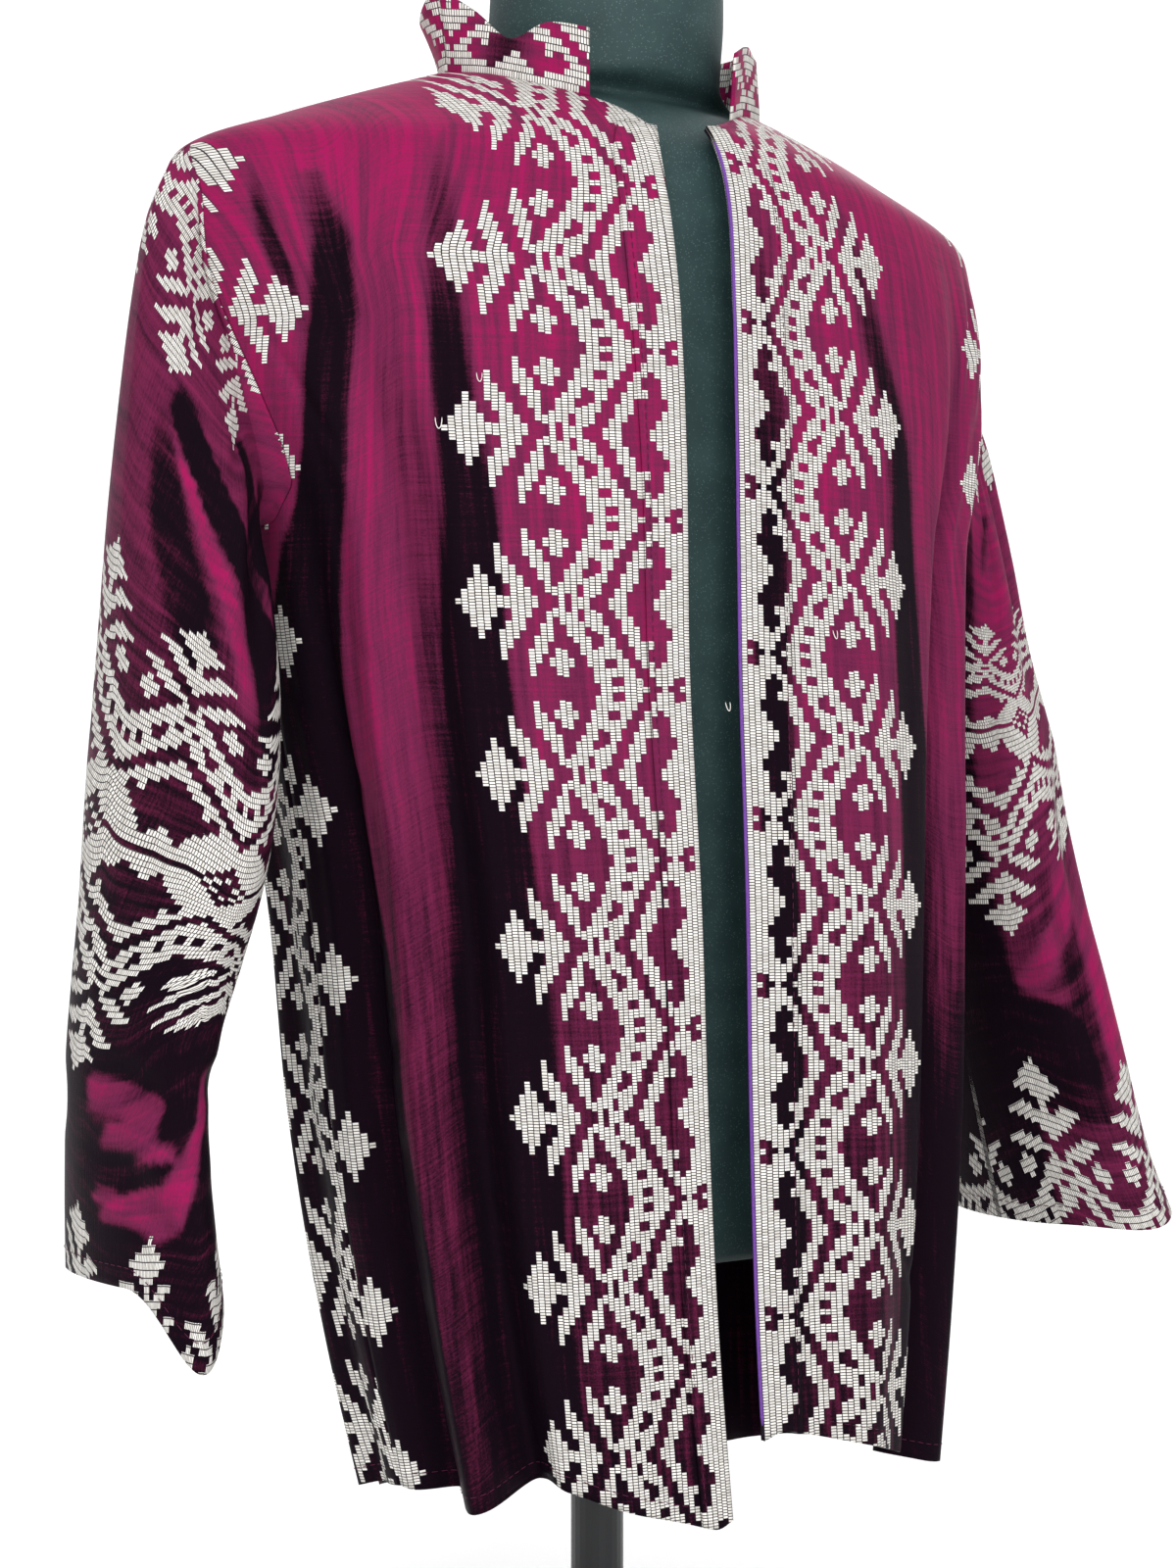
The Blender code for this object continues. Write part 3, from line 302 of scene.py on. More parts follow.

# Short creases: from angle, from z, to angle, to z, half width (mm), depth (mm)
CREASES_BODY = np.array([
    (-66.0, -0.085, -55.0, -0.155, 9.0, -3.2),
    (-55.0, -0.080, -50.0, -0.140, 8.0, -2.6),
    (-72.0, -0.130, -58.0, -0.215, 8.0, -1.6),
    (-70.0, -0.270, -55.0, -0.300, 7.0, -1.1),
    (-84.0, -0.300, -66.0, -0.360, 9.0, -1.6),
    (-82.0, -0.480, -62.0, -0.455, 9.0, -1.5),
    (-58.0, -0.520, -40.0, -0.560, 8.0, -1.2),
    (-26.0, -0.300, -20.0, -0.480, 9.0, -1.0),
    (-22.0, -0.060, -16.0, -0.130, 6.0, -1.2),
    (66.0, -0.090, 56.0, -0.160, 9.0, -2.6),
    (56.0, -0.080, 51.0, -0.150, 7.0, -2.2),
    (72.0, -0.250, 60.0, -0.330, 8.0, -1.6),
    (80.0, -0.420, 62.0, -0.450, 9.0, -1.5),
    (30.0, -0.560, 44.0, -0.600, 8.0, -1.3),
    (112.0, -0.100, 126.0, -0.170, 10.0, -2.6),
    (-112.0, -0.100, -126.0, -0.170, 10.0, -2.6),
    (128.0, -0.120, 146.0, -0.180, 10.0, -2.0),
    (-130.0, -0.130, -150.0, -0.190, 10.0, -2.2),
    (150.0, -0.380, 172.0, -0.410, 10.0, -1.4),
    (-160.0, -0.470, -132.0, -0.440, 10.0, -1.6),
    (118.0, -0.520, 142.0, -0.560, 10.0, -1.5),
    (-172.0, -0.070, 176.0, -0.150, 11.0, -1.6),
])
MM_PER_DEGREE = 3.3


# %% Curves and the body surface
def cubic(a, b, slope_a, slope_b, t):
    """Value at t (0 to 1) of the cubic that leaves a and reaches b with the given slopes."""
    return (a * (2 * t**3 - 3 * t**2 + 1) + b * (3 * t**2 - 2 * t**3)
            + slope_a * (t**3 - 2 * t**2 + t) + slope_b * (t**3 - t**2))


def smooth(x, xs, ys):
    """Cubic through the rows (xs rising), with slopes taken from the neighbours."""
    xs, ys, x = np.asarray(xs, float), np.asarray(ys, float), np.asarray(x, float)
    h = np.diff(xs)
    d = np.diff(ys) / h
    m = np.empty_like(ys)
    m[1:-1] = (d[:-1] * h[1:] + d[1:] * h[:-1]) / (h[:-1] + h[1:])
    m[0], m[-1] = d[0], d[-1]
    k = np.clip(np.searchsorted(xs, x) - 1, 0, len(h) - 1)
    t = np.clip((x - xs[k]) / h[k], 0.0, 1.0)
    return cubic(ys[k], ys[k + 1], m[k] * h[k], m[k + 1] * h[k], t)


LEVEL_NUMBERS = np.arange(len(LEVELS), dtype=float)
DENSE_LEVEL = np.linspace(0.0, len(LEVELS) - 1.0, 2801)
DENSE_Z = smooth(DENSE_LEVEL, LEVEL_NUMBERS, LEVELS[:, 0])


def level_at(z):
    """Level (row of the table, with its fraction) at a height below the neck point."""
    return np.interp(-np.asarray(z, float), -DENSE_Z, DENSE_LEVEL)


def bump(x):
    """Smooth hump, 1 at 0 and 0 beyond 1."""
    return np.where(np.abs(x) < 1.0, np.cos(0.5 * np.pi * x) ** 2, 0.0)


def wrap(angle):
    """The same angle between -180 and 180 degrees."""
    return (angle + 180.0) % 360.0 - 180.0


def ease(x):
    """0 to 1 with a soft start and a soft end."""
    x = np.clip(x, 0.0, 1.0)
    return x * x * (3.0 - 2.0 * x)


def fold_depth(phi, z):
    """Sum of the long folds: each a hump across its angle, its depth read down its length."""
    t = np.clip((FOLD_LEVELS[1] - z) / (FOLD_LEVELS[1] - FOLD_LEVELS[3]), 0.0, 1.0)
    total = np.zeros(np.broadcast(phi, z).shape)
    for top, hem, spread_t, spread_h, d_top, d_mid, d_hem in FOLDS:
        spread = spread_t + (spread_h - spread_t) * t
        depth = np.interp(-z, [-v for v in FOLD_LEVELS], [0.0, d_top, d_mid, d_hem])
        total = total + 0.001 * depth * bump(wrap(phi - top - (hem - top) * t) / spread)
    return total * FOLD_SCALE


def crease_depth_body(phi, z):
    """Sum of the short creases: distance from each line, in mm on the cloth, read through a hump."""
    total = np.zeros(np.broadcast(phi, z).shape)
    for phi_a, z_a, phi_b, z_b, half_width, depth in CREASES_BODY:
        run = np.array([wrap(phi_b - phi_a) * MM_PER_DEGREE, (z_b - z_a) * 1000.0])
        x, y = wrap(phi - phi_a) * MM_PER_DEGREE, (z - z_a) * 1000.0
        along = (x * run[0] + y * run[1]) / (run @ run)
        off = (x * run[1] - y * run[0]) / np.linalg.norm(run)
        total = total + 0.001 * depth * bump(off / half_width) * bump((along - 0.5) / 0.75)
    return total


def lean(x, z):
    """x and drop of a point, because the wearer's left shoulder is lower and narrower: both ease in
    from the centre to the shoulder, and out again down the body."""
    t = ease(x / LEFT_REACH)
    inward = LEFT_IN * t * np.clip(1.0 + z / IN_FADE, 0.0, 1.0)
    return x - inward, LEFT_DROP * t * np.clip(1.0 + z / DROP_FADE, 0.0, 1.0)


def oval(angle, half_w, depth, side_y, centre_x, power):
    """x and y of a rounded oval at an angle from its front: signed powers of the sine and cosine."""
    s, c = np.sin(np.radians(angle)), np.cos(np.radians(angle))
    x = centre_x + half_w * np.sign(s) * np.abs(s) ** (2.0 / power)
    return x, side_y - depth * np.sign(c) * np.abs(c) ** (2.0 / power)


def back_lift(phi, z):
    """How much higher the cloth lies behind the neck: a squared sine of the angle past the side."""
    away = np.clip(np.abs(wrap(phi)) - 90.0, 0.0, 90.0)
    return BACK_LIFT * np.sin(np.radians(away)) ** 2 * np.clip(1.0 + z / LIFT_FADE, 0.0, 1.0) ** 2


def body_bare(phi, level):
    """The level's oval at angle phi, lifted behind the neck and leaning to the left shoulder."""
    phi, level = np.broadcast_arrays(np.asarray(phi, float), np.asarray(level, float))
    z, a, front, back, side_y, cx, power = (smooth(level, LEVEL_NUMBERS, column) for column in LEVELS.T)
    depth = np.where(np.cos(np.radians(phi)) >= 0.0, front, back)
    x, y = oval(phi, a, depth, side_y, cx, power)
    x, drop = lean(x, z)
    return np.stack([x, y, NECK_POINT_Z + z + back_lift(phi, z) - drop], axis=-1), z


def normal_of(surface, phi, level):
    """Outward direction, from the cross product of the steps down and round the surface."""
    dp, dl = 0.4, 0.02
    a = surface(phi + dp, level) - surface(phi - dp, level)
    b = surface(phi, level + dl) - surface(phi, np.maximum(level - dl, 0.03))
    return unit(np.cross(b, a))


def bare_points(phi, level):
    """The points alone of the bare body."""
    return body_bare(phi, level)[0]


def body(phi, level):
    """The bare oval moved out along its normal by the long folds."""
    phi, level = np.broadcast_arrays(np.asarray(phi, float), np.asarray(level, float))
    p, z = body_bare(phi, level)
    return p + normal_of(bare_points, phi, level) * fold_depth(phi, z)[..., None]


print("level 0 is the neck point,", len(LEVELS) - 1, "the lowest")

# %% [markdown]
# ## The panels' outlines
# A tailor cuts the fronts and the back so that their edges meet: side seam, armhole, shoulder, neck
# and hem are curves on the body surface, given as angle and height. A panel is a grid between its
# edges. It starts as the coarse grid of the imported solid, and is then made finer by cubics
# through the same rows and columns, so the fine cloth keeps the solid's edges.

# %% Edges of the panels
def along(table, t, side=1.0):
    """Points of an edge table spaced by t (0..1) of its length on the body: angle and level."""
    k = np.arange(len(table), dtype=float)
    fine = np.linspace(0.0, len(table) - 1.0, 241)
    phi, z = smooth(fine, k, table[:, 0]), smooth(fine, k, table[:, 1])
    p = body_bare(phi * side, level_at(z))[0]
    run = run_length(p)
    at = np.interp(np.asarray(t, float) * run[-1], run, fine)
    return smooth(at, k, table[:, 0]) * side, level_at(smooth(at, k, table[:, 1]))


def hem_level(phi):
    """Level of the hem at an angle."""
    return level_at(np.interp(wrap(np.asarray(phi, float)), HEM[:, 0], HEM[:, 1]))


def z_of(level):
    """Height below the neck point at a level."""
    return np.interp(level, DENSE_LEVEL, DENSE_Z)


def side_edge(side, table, sign):
    """Side seam then armhole, hem to shoulder point; sign +1 keeps to the front of the side line."""
    rows = np.arange(ROWS_SIDE + ROWS_ARM + 1)
    foot = z_of(hem_level(90.0 * side))
    level = level_at(foot + (UNDERARM_Z - foot) * np.clip(rows / ROWS_SIDE, 0, 1))
    arm_phi, arm_level = along(table, np.clip((rows - ROWS_SIDE) / ROWS_ARM, 0, 1), side)
    low = rows <= ROWS_SIDE
    phi, level = np.where(low, 90.0 * side, arm_phi), np.where(low, level, arm_level)
    depth = smooth(level, LEVEL_NUMBERS, LEVELS[:, 2])
    phi = phi - sign * side * np.degrees(0.5 * SEAM_GAP / np.maximum(depth, 0.02))
    phi[-1], level[-1] = 90.0 * side, level_at(SHOULDER_Z)
    return phi, level


# %% Coarse grids of the panels
def front_grid(side):
    """Angle and level of the front's coarse points: rows from the hem up, columns from the edge."""
    rows = np.arange(ROWS_SIDE + ROWS_ARM + 1)
    top = ROWS_SIDE + ROWS_CF
    edge = FRONT_EDGE[side]
    z_foot = float(z_of(hem_level(edge[0, 1])))
    z = np.interp(rows, [0, ROWS_SIDE, top], [z_foot, EDGE_UNDERARM_Z, edge[-1, 0]])
    steps = np.interp(rows - top, np.arange(len(NECK_STEPS[side])), NECK_STEPS[side])
    n_phi, n_level = along(NECK_FRONT[side], steps)
    phi_l = np.where(rows <= top, smooth(z, edge[:, 0], edge[:, 1]), n_phi)
    level_l = np.where(rows <= top, level_at(z), n_level)
    phi_r, level_r = side_edge(side, ARM_FRONT, 1.0)
    band = np.degrees(BAND_WIDTH / CHEST_HALF_WIDTH) / FRONT_ANGLE
    even = band + (1 - band) * np.arange(1, COLS_FRONT - 1) / (COLS_FRONT - 2)
    g = np.concatenate([[0.0, band / 2, band], even])
    line = 90.0 * side
    close = np.clip((g - SIDE_CLOSE) / (1 - SIDE_CLOSE), 0, 1)[None, :] ** SIDE_POWER
    phi = phi_l[:, None] + (line - phi_l)[:, None] * g[None, :] + (phi_r - line)[:, None] * close
    part = np.abs(phi_r - phi_l)[:, None]
    part = np.where(part > 1.0, np.abs(phi - phi_l[:, None]) / np.maximum(part, 1.0), g[None, :])
    level = level_l[:, None] + (level_r - level_l)[:, None] * np.clip(part, 0, 1) ** LEVEL_POWER
    rise = np.where(g <= band, g / band, np.clip(1.0 - (g - band) / NECK_RISE, 0, 1) ** 2)
    for below, share in NECK_CORNER:
        level[top - below] -= share * rise
    fade = (np.clip(1.0 - rows / ROWS_SIDE, 0, 1) ** HEM_POWER)[:, None]
    level = level + (hem_level(phi[0]) - level[0])[None, :] * fade
    phi[-1] = line
    level[-1] = level_at(np.interp(g, [0, 1], [NECK_FRONT[side][-1, 1], SHOULDER_Z]))
    return phi, level


def back_grid():
    """Angle (90 to 270, left side to right side) and level of the back panel's coarse points."""
    rows = np.arange(ROWS_SIDE + ROWS_ARM + 1)
    phi_a, level_a = side_edge(1, ARM_BACK, -1.0)
    phi_b, level_b = side_edge(-1, ARM_BACK, -1.0)
    phi_b = phi_b + 360.0
    u = np.linspace(0.0, 1.0, COLS_BACK + 1)
    close_a = np.clip(1.0 - u / BACK_CLOSE, 0, 1)[None, :] ** SIDE_POWER
    close_b = np.clip(1.0 - (1.0 - u) / BACK_CLOSE, 0, 1)[None, :] ** SIDE_POWER
    phi = 90.0 + 180.0 * u[None, :] + (phi_a - 90.0)[:, None] * close_a + (phi_b - 270.0)[:, None] * close_b
    level = level_a[:, None] + (level_b - level_a)[:, None] * u[None, :]
    fade = (np.clip(1.0 - rows / ROWS_SIDE, 0, 1) ** HEM_POWER)[:, None]
    level = level + (hem_level(phi[0]) - level[0])[None, :] * fade
    steps = SHOULDER_STEPS
    sh_level = level_at(np.linspace(SHOULDER_Z, NECK_BACK[0, 1], steps + 1))[:-1]
    n_phi, n_level = along(NECK_BACK, np.linspace(0.0, 1.0, COLS_BACK - 2 * steps + 1))
    top_phi = np.concatenate([np.full(steps, 90.0), n_phi, np.full(steps, 270.0)])
    top_level = np.concatenate([sh_level, n_level, sh_level[::-1]])
    s = np.clip((rows - BLEND_ROW) / (rows[-1] - BLEND_ROW), 0, 1)[:, None]
    up_phi = phi[BLEND_ROW][None, :] * (1 - s) + top_phi[None, :] * s
    up_level = level[BLEND_ROW][None, :] * (1 - s) + top_level[None, :] * s
    near_a, near_b = (1 - u)[None, :] ** 2, u[None, :] ** 2
    end_phi = (phi_a - up_phi[:, 0])[:, None] * near_a + (phi_b - up_phi[:, -1])[:, None] * near_b
    end_level = (level_a - up_level[:, 0])[:, None] * near_a + (level_b - up_level[:, -1])[:, None] * near_b
    high = (rows > BLEND_ROW)[:, None]
    return np.where(high, up_phi + end_phi, phi), np.where(high, up_level + end_level, level)


# %% Finer grids of the panels
def refine(grid, breaks, parts):
    """Cubic through the grid's rows, each step cut into parts; a break keeps its corner."""
    pieces = []
    for (start, stop), n in zip(zip(breaks[:-1], breaks[1:]), parts):
        y = grid[start:stop + 1]
        m = np.gradient(y, axis=0) if len(y) > 1 else y * 0
        x = np.arange((stop - start) * n) / n
        k = x.astype(int)
        t = (x - k)[:, None]
        pieces.append(cubic(y[k], y[k + 1], m[k], m[k + 1], t))
    return np.concatenate(pieces + [grid[-1:]])


ROW_BREAKS = (0, ROWS_SIDE, ROWS_SIDE + ROWS_CF, ROWS_SIDE + ROWS_ARM)
ROW_PARTS = (8, 6, 6)
FRONT_BREAKS, FRONT_PARTS = (0, 2, COLS_FRONT), (4, 4)
BACK_BREAKS, BACK_PARTS = (0, SHOULDER_STEPS, COLS_BACK - SHOULDER_STEPS, COLS_BACK), (4, 4, 4)
FINE_SIDE = ROWS_SIDE * ROW_PARTS[0]
FINE_BAND_ROWS = FINE_SIDE + ROWS_CF * ROW_PARTS[1] + 1
FINE_BAND_COLS = 2 * FRONT_PARTS[0] + 1


def fine_grid(coarse, col_breaks, col_parts):
    """Both arrays of a coarse grid made finer along the rows and then along the columns."""
    made = []
    for values in coarse:
        tall = refine(values, ROW_BREAKS, ROW_PARTS)
        made.append(refine(tall.T, col_breaks, col_parts).T)
    return made


fine = {
    -1: fine_grid(front_grid(-1), FRONT_BREAKS, FRONT_PARTS),
    1: fine_grid(front_grid(1), FRONT_BREAKS, FRONT_PARTS),
    0: fine_grid(back_grid(), BACK_BREAKS, BACK_PARTS),
}
print("fine grids", {side: grid[0].shape for side, grid in fine.items()})

# %% [markdown]
# ## Thread counts
# The figures are drawn by counted threads, so each point of the cloth needs its place in the weave:
# how many warp groups it lies from the centre of a figured band, and how many laid-in weft threads
# up. The count across is the length along the body's level, and near the shoulder, where the cloth
# tips back, the plain distance sideways. The count up is the height, carried on over the
# shoulder by the length of the slope.

# %% Thread counts of the body
COLUMN = 0.0033                      # one group of warp threads, the width of one float
ROW = 0.0013725                      # one laid-in weft thread and the gap to the next
HALF_REPEAT = 0.03843                # 28 rows, from one apex of a figure to the next
HALF_FRONT = 0.160                   # from the centre of one figured band to the middle of the next gap
TIP = 0.1188                         # from the centre of a band to the tips of its figures
ARC_PHI = np.linspace(-190.0, 190.0, 1521)
ARC_LEVEL = np.linspace(0.3, len(LEVELS) - 1.0, 147)
UP_START = -0.16                     # height at which the count up agrees with the plain height
OVER_START, OVER_SPAN = -0.14, 0.10  # where the count across goes over to the plain distance sideways
DROP_START, DROP_SPAN = 0.02, 0.04   # past the tips, where the side's band starts to lie lower


def arc_tables():
    """Length round the folded body from the centre front, and up its slope, on a grid of levels."""
    around = run_length(body(ARC_PHI[None, :], ARC_LEVEL[:, None]), axis=1)
    around = around - around[:, [len(ARC_PHI) // 2]]
    bare = body_bare(ARC_PHI[None, :], ARC_LEVEL[:, None])[0]
    down = run_length(bare[..., 1:])
    anchor = np.argmin(np.abs(z_of(ARC_LEVEL) - UP_START))
    return around, UP_START - (down - down[anchor])


AROUND, UP = arc_tables()


def look_up(table, phi, level):
    """Bilinear reading of a table over angle (-190 to 190) and level."""
    x = (phi - ARC_PHI[0]) / (ARC_PHI[1] - ARC_PHI[0])
    y = np.clip((level - ARC_LEVEL[0]) / (ARC_LEVEL[1] - ARC_LEVEL[0]), 0, len(ARC_LEVEL) - 1.001)
    i, j = y.astype(int), np.clip(x.astype(int), 0, len(ARC_PHI) - 2)
    a, b = y - i, x - j
    return ((table[i, j] * (1 - b) + table[i, j + 1] * b) * (1 - a)
            + (table[i + 1, j] * (1 - b) + table[i + 1, j + 1] * b) * a)


# The figures were beaten closer in some places than in others: how much closer, at each height.
FIGURE_SCALE = {
    -1: np.array([
        # z, scale
        (-0.650, 1.270), (-0.565, 1.254), (-0.495, 1.230), (-0.415, 1.176), (-0.340, 1.120),
        (-0.260, 1.055), (-0.180, 1.000), (-0.105, 1.000), (-0.045, 1.300),
    ]),
    1: np.array([
        (-0.650, 0.970), (-0.400, 0.950), (-0.320, 0.970), (-0.240, 1.060), (-0.165, 1.100),
        (-0.105, 1.200), (-0.030, 1.250),
    ]),
}
# How much lower the band at the side lies than the front's own, and how far from the front edge
# its tips stand, at each height
SIDE_DROP = np.array([
    # z, drop
    (-0.260, 0.0165), (-0.200, 0.0165), (-0.132, 0.0236), (-0.064, 0.0320),
])
SIDE_TIP = 2 * HALF_FRONT - TIP
CUT_Z = -0.13                        # height from which the front edge is followed straight up
SIDE_TIPS = {
    -1: np.array([
        # z, distance
        (-0.260, SIDE_TIP), (-0.200, 0.190), (-0.135, 0.1756), (-0.064, 0.1787), (-0.030, 0.178),
    ]),
    1: np.array([
        (-0.260, SIDE_TIP), (-0.210, 0.190), (-0.190, 0.181), (-0.120, 0.181), (-0.067, 0.1646),
        (-0.030, 0.160),
    ]),
}


def body_threads(side, phi, level):
    """Metres across from the front edge (or the centre back) and up from the neck point."""
    z = z_of(level)
    x = body_bare(phi, level)[0][..., 0]
    at = np.where(phi > 180.0, phi - 360.0, phi)
    up = look_up(UP, at, level)
    over = ease((z - OVER_START) / OVER_SPAN)
    if not side:
        half = look_up(AROUND, np.where(phi > 180.0, -180.0, 180.0), level)
        return (look_up(AROUND, at, level) - half) * (1 - over) - x * over, up
    edge = FRONT_EDGE[side]
    edge_phi = smooth(np.clip(z, edge[0, 0], edge[-1, 0]), edge[:, 0], edge[:, 1])
    arc = np.abs(look_up(AROUND, at, level) - look_up(AROUND, edge_phi, level))
    flat = np.abs(x - body_bare(edge[-1, 1], level_at(CUT_Z))[0][..., 0])
    plain = arc * (1 - over) + flat * over
    # stretch the count so that the tips stand where the table says, and close up again past them
    scale = np.interp(z, FIGURE_SCALE[side][:, 0], FIGURE_SCALE[side][:, 1])
    tip = TIP / scale
    side_tip = np.interp(z, SIDE_TIPS[side][:, 0], SIDE_TIPS[side][:, 1])
    past = TIP + (plain - tip) * (SIDE_TIP - TIP) / (side_tip - tip)
    beyond = SIDE_TIP + plain - side_tip
    across = np.where(plain < tip, plain * scale, np.where(plain < side_tip, past, beyond))
    drop = np.interp(z, SIDE_DROP[:, 0], SIDE_DROP[:, 1])
    return across, up + drop * ease((across - TIP - DROP_START) / DROP_SPAN)


CHEST_Z = -0.25
CHEST_ROW = np.argmin(np.abs(z_of(ARC_LEVEL) - CHEST_Z))
chest = np.interp([-180.0, 180.0], ARC_PHI, AROUND[CHEST_ROW])
print("round the cloth at the chest", round(float(chest[1] - chest[0]), 3), "m")

# %% [markdown]
# ## Cloth panels
# Each panel is a wall one and a half millimetres thick, closed at its edges. The shade stored on
# every point is painted shade: it grows with how deep in a fold the point lies, with its height and
# in listed dark bands, and the cloth's finish uses it to darken the silk from magenta to near black.

# %% Painted shade of the silk
SHADE_DEPTH = 0.012
FOLD_SHARE = 0.40                    # how much of the shade comes from the folds
# Painted shade of the open cloth at each height, darker towards the hem
OPEN_SHADE = np.array([
    # z, shade
    (-0.70, 0.97), (-0.60, 0.72), (-0.50, 0.62), (-0.42, 0.52), (-0.34, 0.26), (-0.22, 0.16),
    (-0.10, 0.08), (0.00, 0.00),
])
# Bands of painted shade along the folds: height, the two angles that it lies between, strength
PAINTED_SHADE_BANDS = {
    "right_long": np.array([
        (-0.70, -50.0, -38.5, 1.0), (-0.61, -50.8, -38.5, 1.0), (-0.52, -52.8, -36.5, 1.0),
        (-0.43, -51.2, -36.2, 1.0), (-0.30, -48.0, -36.8, 1.0), (-0.235, -45.8, -36.6, 0.95),
        (-0.18, -43.4, -36.8, 0.9), (-0.125, -40.8, -36.4, 0.75), (-0.075, -39.8, -36.4, 0.5),
        (-0.045, -39.0, -37.0, 0.1),
    ]),
    "right_side": np.array([
        (-0.70, -96.0, -64.0, 1.0), (-0.615, -96.0, -64.2, 1.0), (-0.56, -96.0, -63.8, 1.0),
        (-0.495, -96.0, -66.8, 1.0), (-0.43, -96.0, -67.5, 1.0), (-0.365, -96.0, -71.8, 1.0),
        (-0.30, -96.0, -70.8, 1.0), (-0.235, -82.0, -66.0, 1.0), (-0.19, -69.0, -59.5, 1.0),
        (-0.135, -60.0, -52.5, 0.95), (-0.10, -57.5, -51.5, 0.8), (-0.07, -60.0, -56.0, 0.3),
    ]),
    "right_finger": np.array([
        (-0.150, -62.0, -59.5, 0.0), (-0.115, -65.5, -61.5, 0.7), (-0.085, -69.0, -65.5, 0.7),
        (-0.060, -70.5, -69.0, 0.0),
    ]),
    "left_long": np.array([
        (-0.70, 33.0, 70.0, 1.0), (-0.60, 33.0, 66.0, 1.0), (-0.52, 33.0, 52.0, 1.0),
        (-0.43, 32.0, 47.0, 1.0), (-0.365, 30.5, 43.0, 1.0), (-0.295, 29.0, 37.5, 1.0),
        (-0.225, 26.5, 33.5, 0.9), (-0.175, 24.0, 29.5, 0.8), (-0.13, 19.5, 23.8, 0.7),
        (-0.085, 17.5, 20.5, 0.5), (-0.055, 16.0, 18.5, 0.1),
    ]),
    "left_low": np.array([
        (-0.70, 46.0, 96.0, 1.0), (-0.60, 46.0, 96.0, 0.8), (-0.53, 46.0, 96.0, 0.45),
        (-0.46, 46.0, 96.0, 0.2), (-0.42, 48.0, 96.0, 0.0),
    ]),
    "left_edge": np.array([
        (-0.66, 0.5, 5.6, 0.75), (-0.45, 0.5, 5.6, 0.85), (-0.20, 0.5, 5.6, 0.80),
        (-0.10, 0.5, 5.0, 0.40), (-0.05, 0.5, 4.0, 0.1),
    ]),
    "left_arm": np.array([
        (-0.055, 36.0, 42.0, 0.2), (-0.070, 38.0, 44.0, 0.9), (-0.140, 43.5, 48.5, 1.0),
        (-0.200, 46.0, 50.5, 1.0), (-0.300, 47.5, 52.0, 0.8), (-0.440, 47.5, 52.0, 0.5),
    ]),
    "left_side": np.array([
        (-0.70, 68.0, 96.0, 1.0), (-0.45, 66.0, 96.0, 0.9), (-0.36, 74.0, 96.0, 0.8),
        (-0.26, 60.0, 96.0, 0.7), (-0.16, 60.0, 76.0, 0.5), (-0.10, 62.0, 70.0, 0.2),
    ]),
    "back_left_side": np.array([
        (-0.70, 90.0, 116.0, 1.0), (-0.40, 90.0, 114.0, 1.0), (-0.24, 94.0, 112.0, 0.9),
        (-0.12, 112.0, 122.0, 0.5), (-0.07, 118.0, 122.0, 0.0),
    ]),
    "back_left": np.array([
        (-0.70, 130.0, 148.0, 1.0), (-0.40, 131.0, 146.0, 1.0), (-0.20, 134.0, 142.0, 0.8),
        (-0.08, 138.0, 142.0, 0.1),
    ]),
    "back_middle": np.array([
        (-0.70, 164.0, 176.0, 1.0), (-0.35, 167.0, 176.0, 0.9), (-0.10, 170.0, 175.0, 0.2),
    ]),
    "back_right": np.array([
        (-0.70, -160.0, -145.0, 1.0), (-0.40, -158.0, -146.0, 1.0), (-0.20, -155.0, -148.0, 0.8),
        (-0.08, -153.0, -150.0, 0.1),
    ]),
    "back_right_side": np.array([
        (-0.70, -128.0, -90.0, 1.0), (-0.40, -127.0, -90.0, 1.0), (-0.24, -124.0, -94.0, 0.9),
        (-0.12, -122.0, -112.0, 0.5), (-0.07, -122.0, -118.0, 0.0),
    ]),
}
EDGE_SOFT = 2.6                      # degrees over which a dark band fades at its sides


def banded(place, across, bands, soft):
    """Sum of bands: each lies between two values of across that change with place, fades in over soft
    at both sides, and has its own strength at each place, nothing past its ends."""
    total = np.zeros(np.broadcast(place, across).shape)
    for table in bands:
        low, high, strength = (np.interp(place, table[:, 0], column) for column in table.T[1:])
        reach = (place >= table[0, 0]) & (place <= table[-1, 0])
        middle, half = (low + high) / 2, (high - low) / 2
        edge = ease((half + soft / 2 - np.abs(wrap(across - middle))) / soft)
        total = total + strength * reach * edge
    return total


def shade_of(phi, z, depth):
    """0 on open lit cloth, 1 in full painted shade: from the height, the folds and the dark bands."""
    fold_shade = FOLD_SHARE * ease(np.clip(-depth / SHADE_DEPTH, 0.0, 1.0))
    level_shade = np.interp(z, OPEN_SHADE[:, 0], OPEN_SHADE[:, 1])
    return np.clip(level_shade + fold_shade + banded(z, phi, PAINTED_SHADE_BANDS.values(), EDGE_SOFT), 0.0, 1.0)


print("dark bands", len(PAINTED_SHADE_BANDS))

# %% Build the panels
PANELS = {}
CREASE_KEEP = 10.0                   # grid steps from an edge over which creases fade out
UV_COLUMNS, UV_ROWS = 400.0, 800.0   # thread counts that fill the UV square
UV_CENTRE = (200.0, 560.0)


def threads_uv(threads):
    """Metres across and up, as counts of columns and rows, packed into the UV square."""
    count = threads / np.array([COLUMN, ROW])
    return (count + np.array(UV_CENTRE)) / np.array([UV_COLUMNS, UV_ROWS])


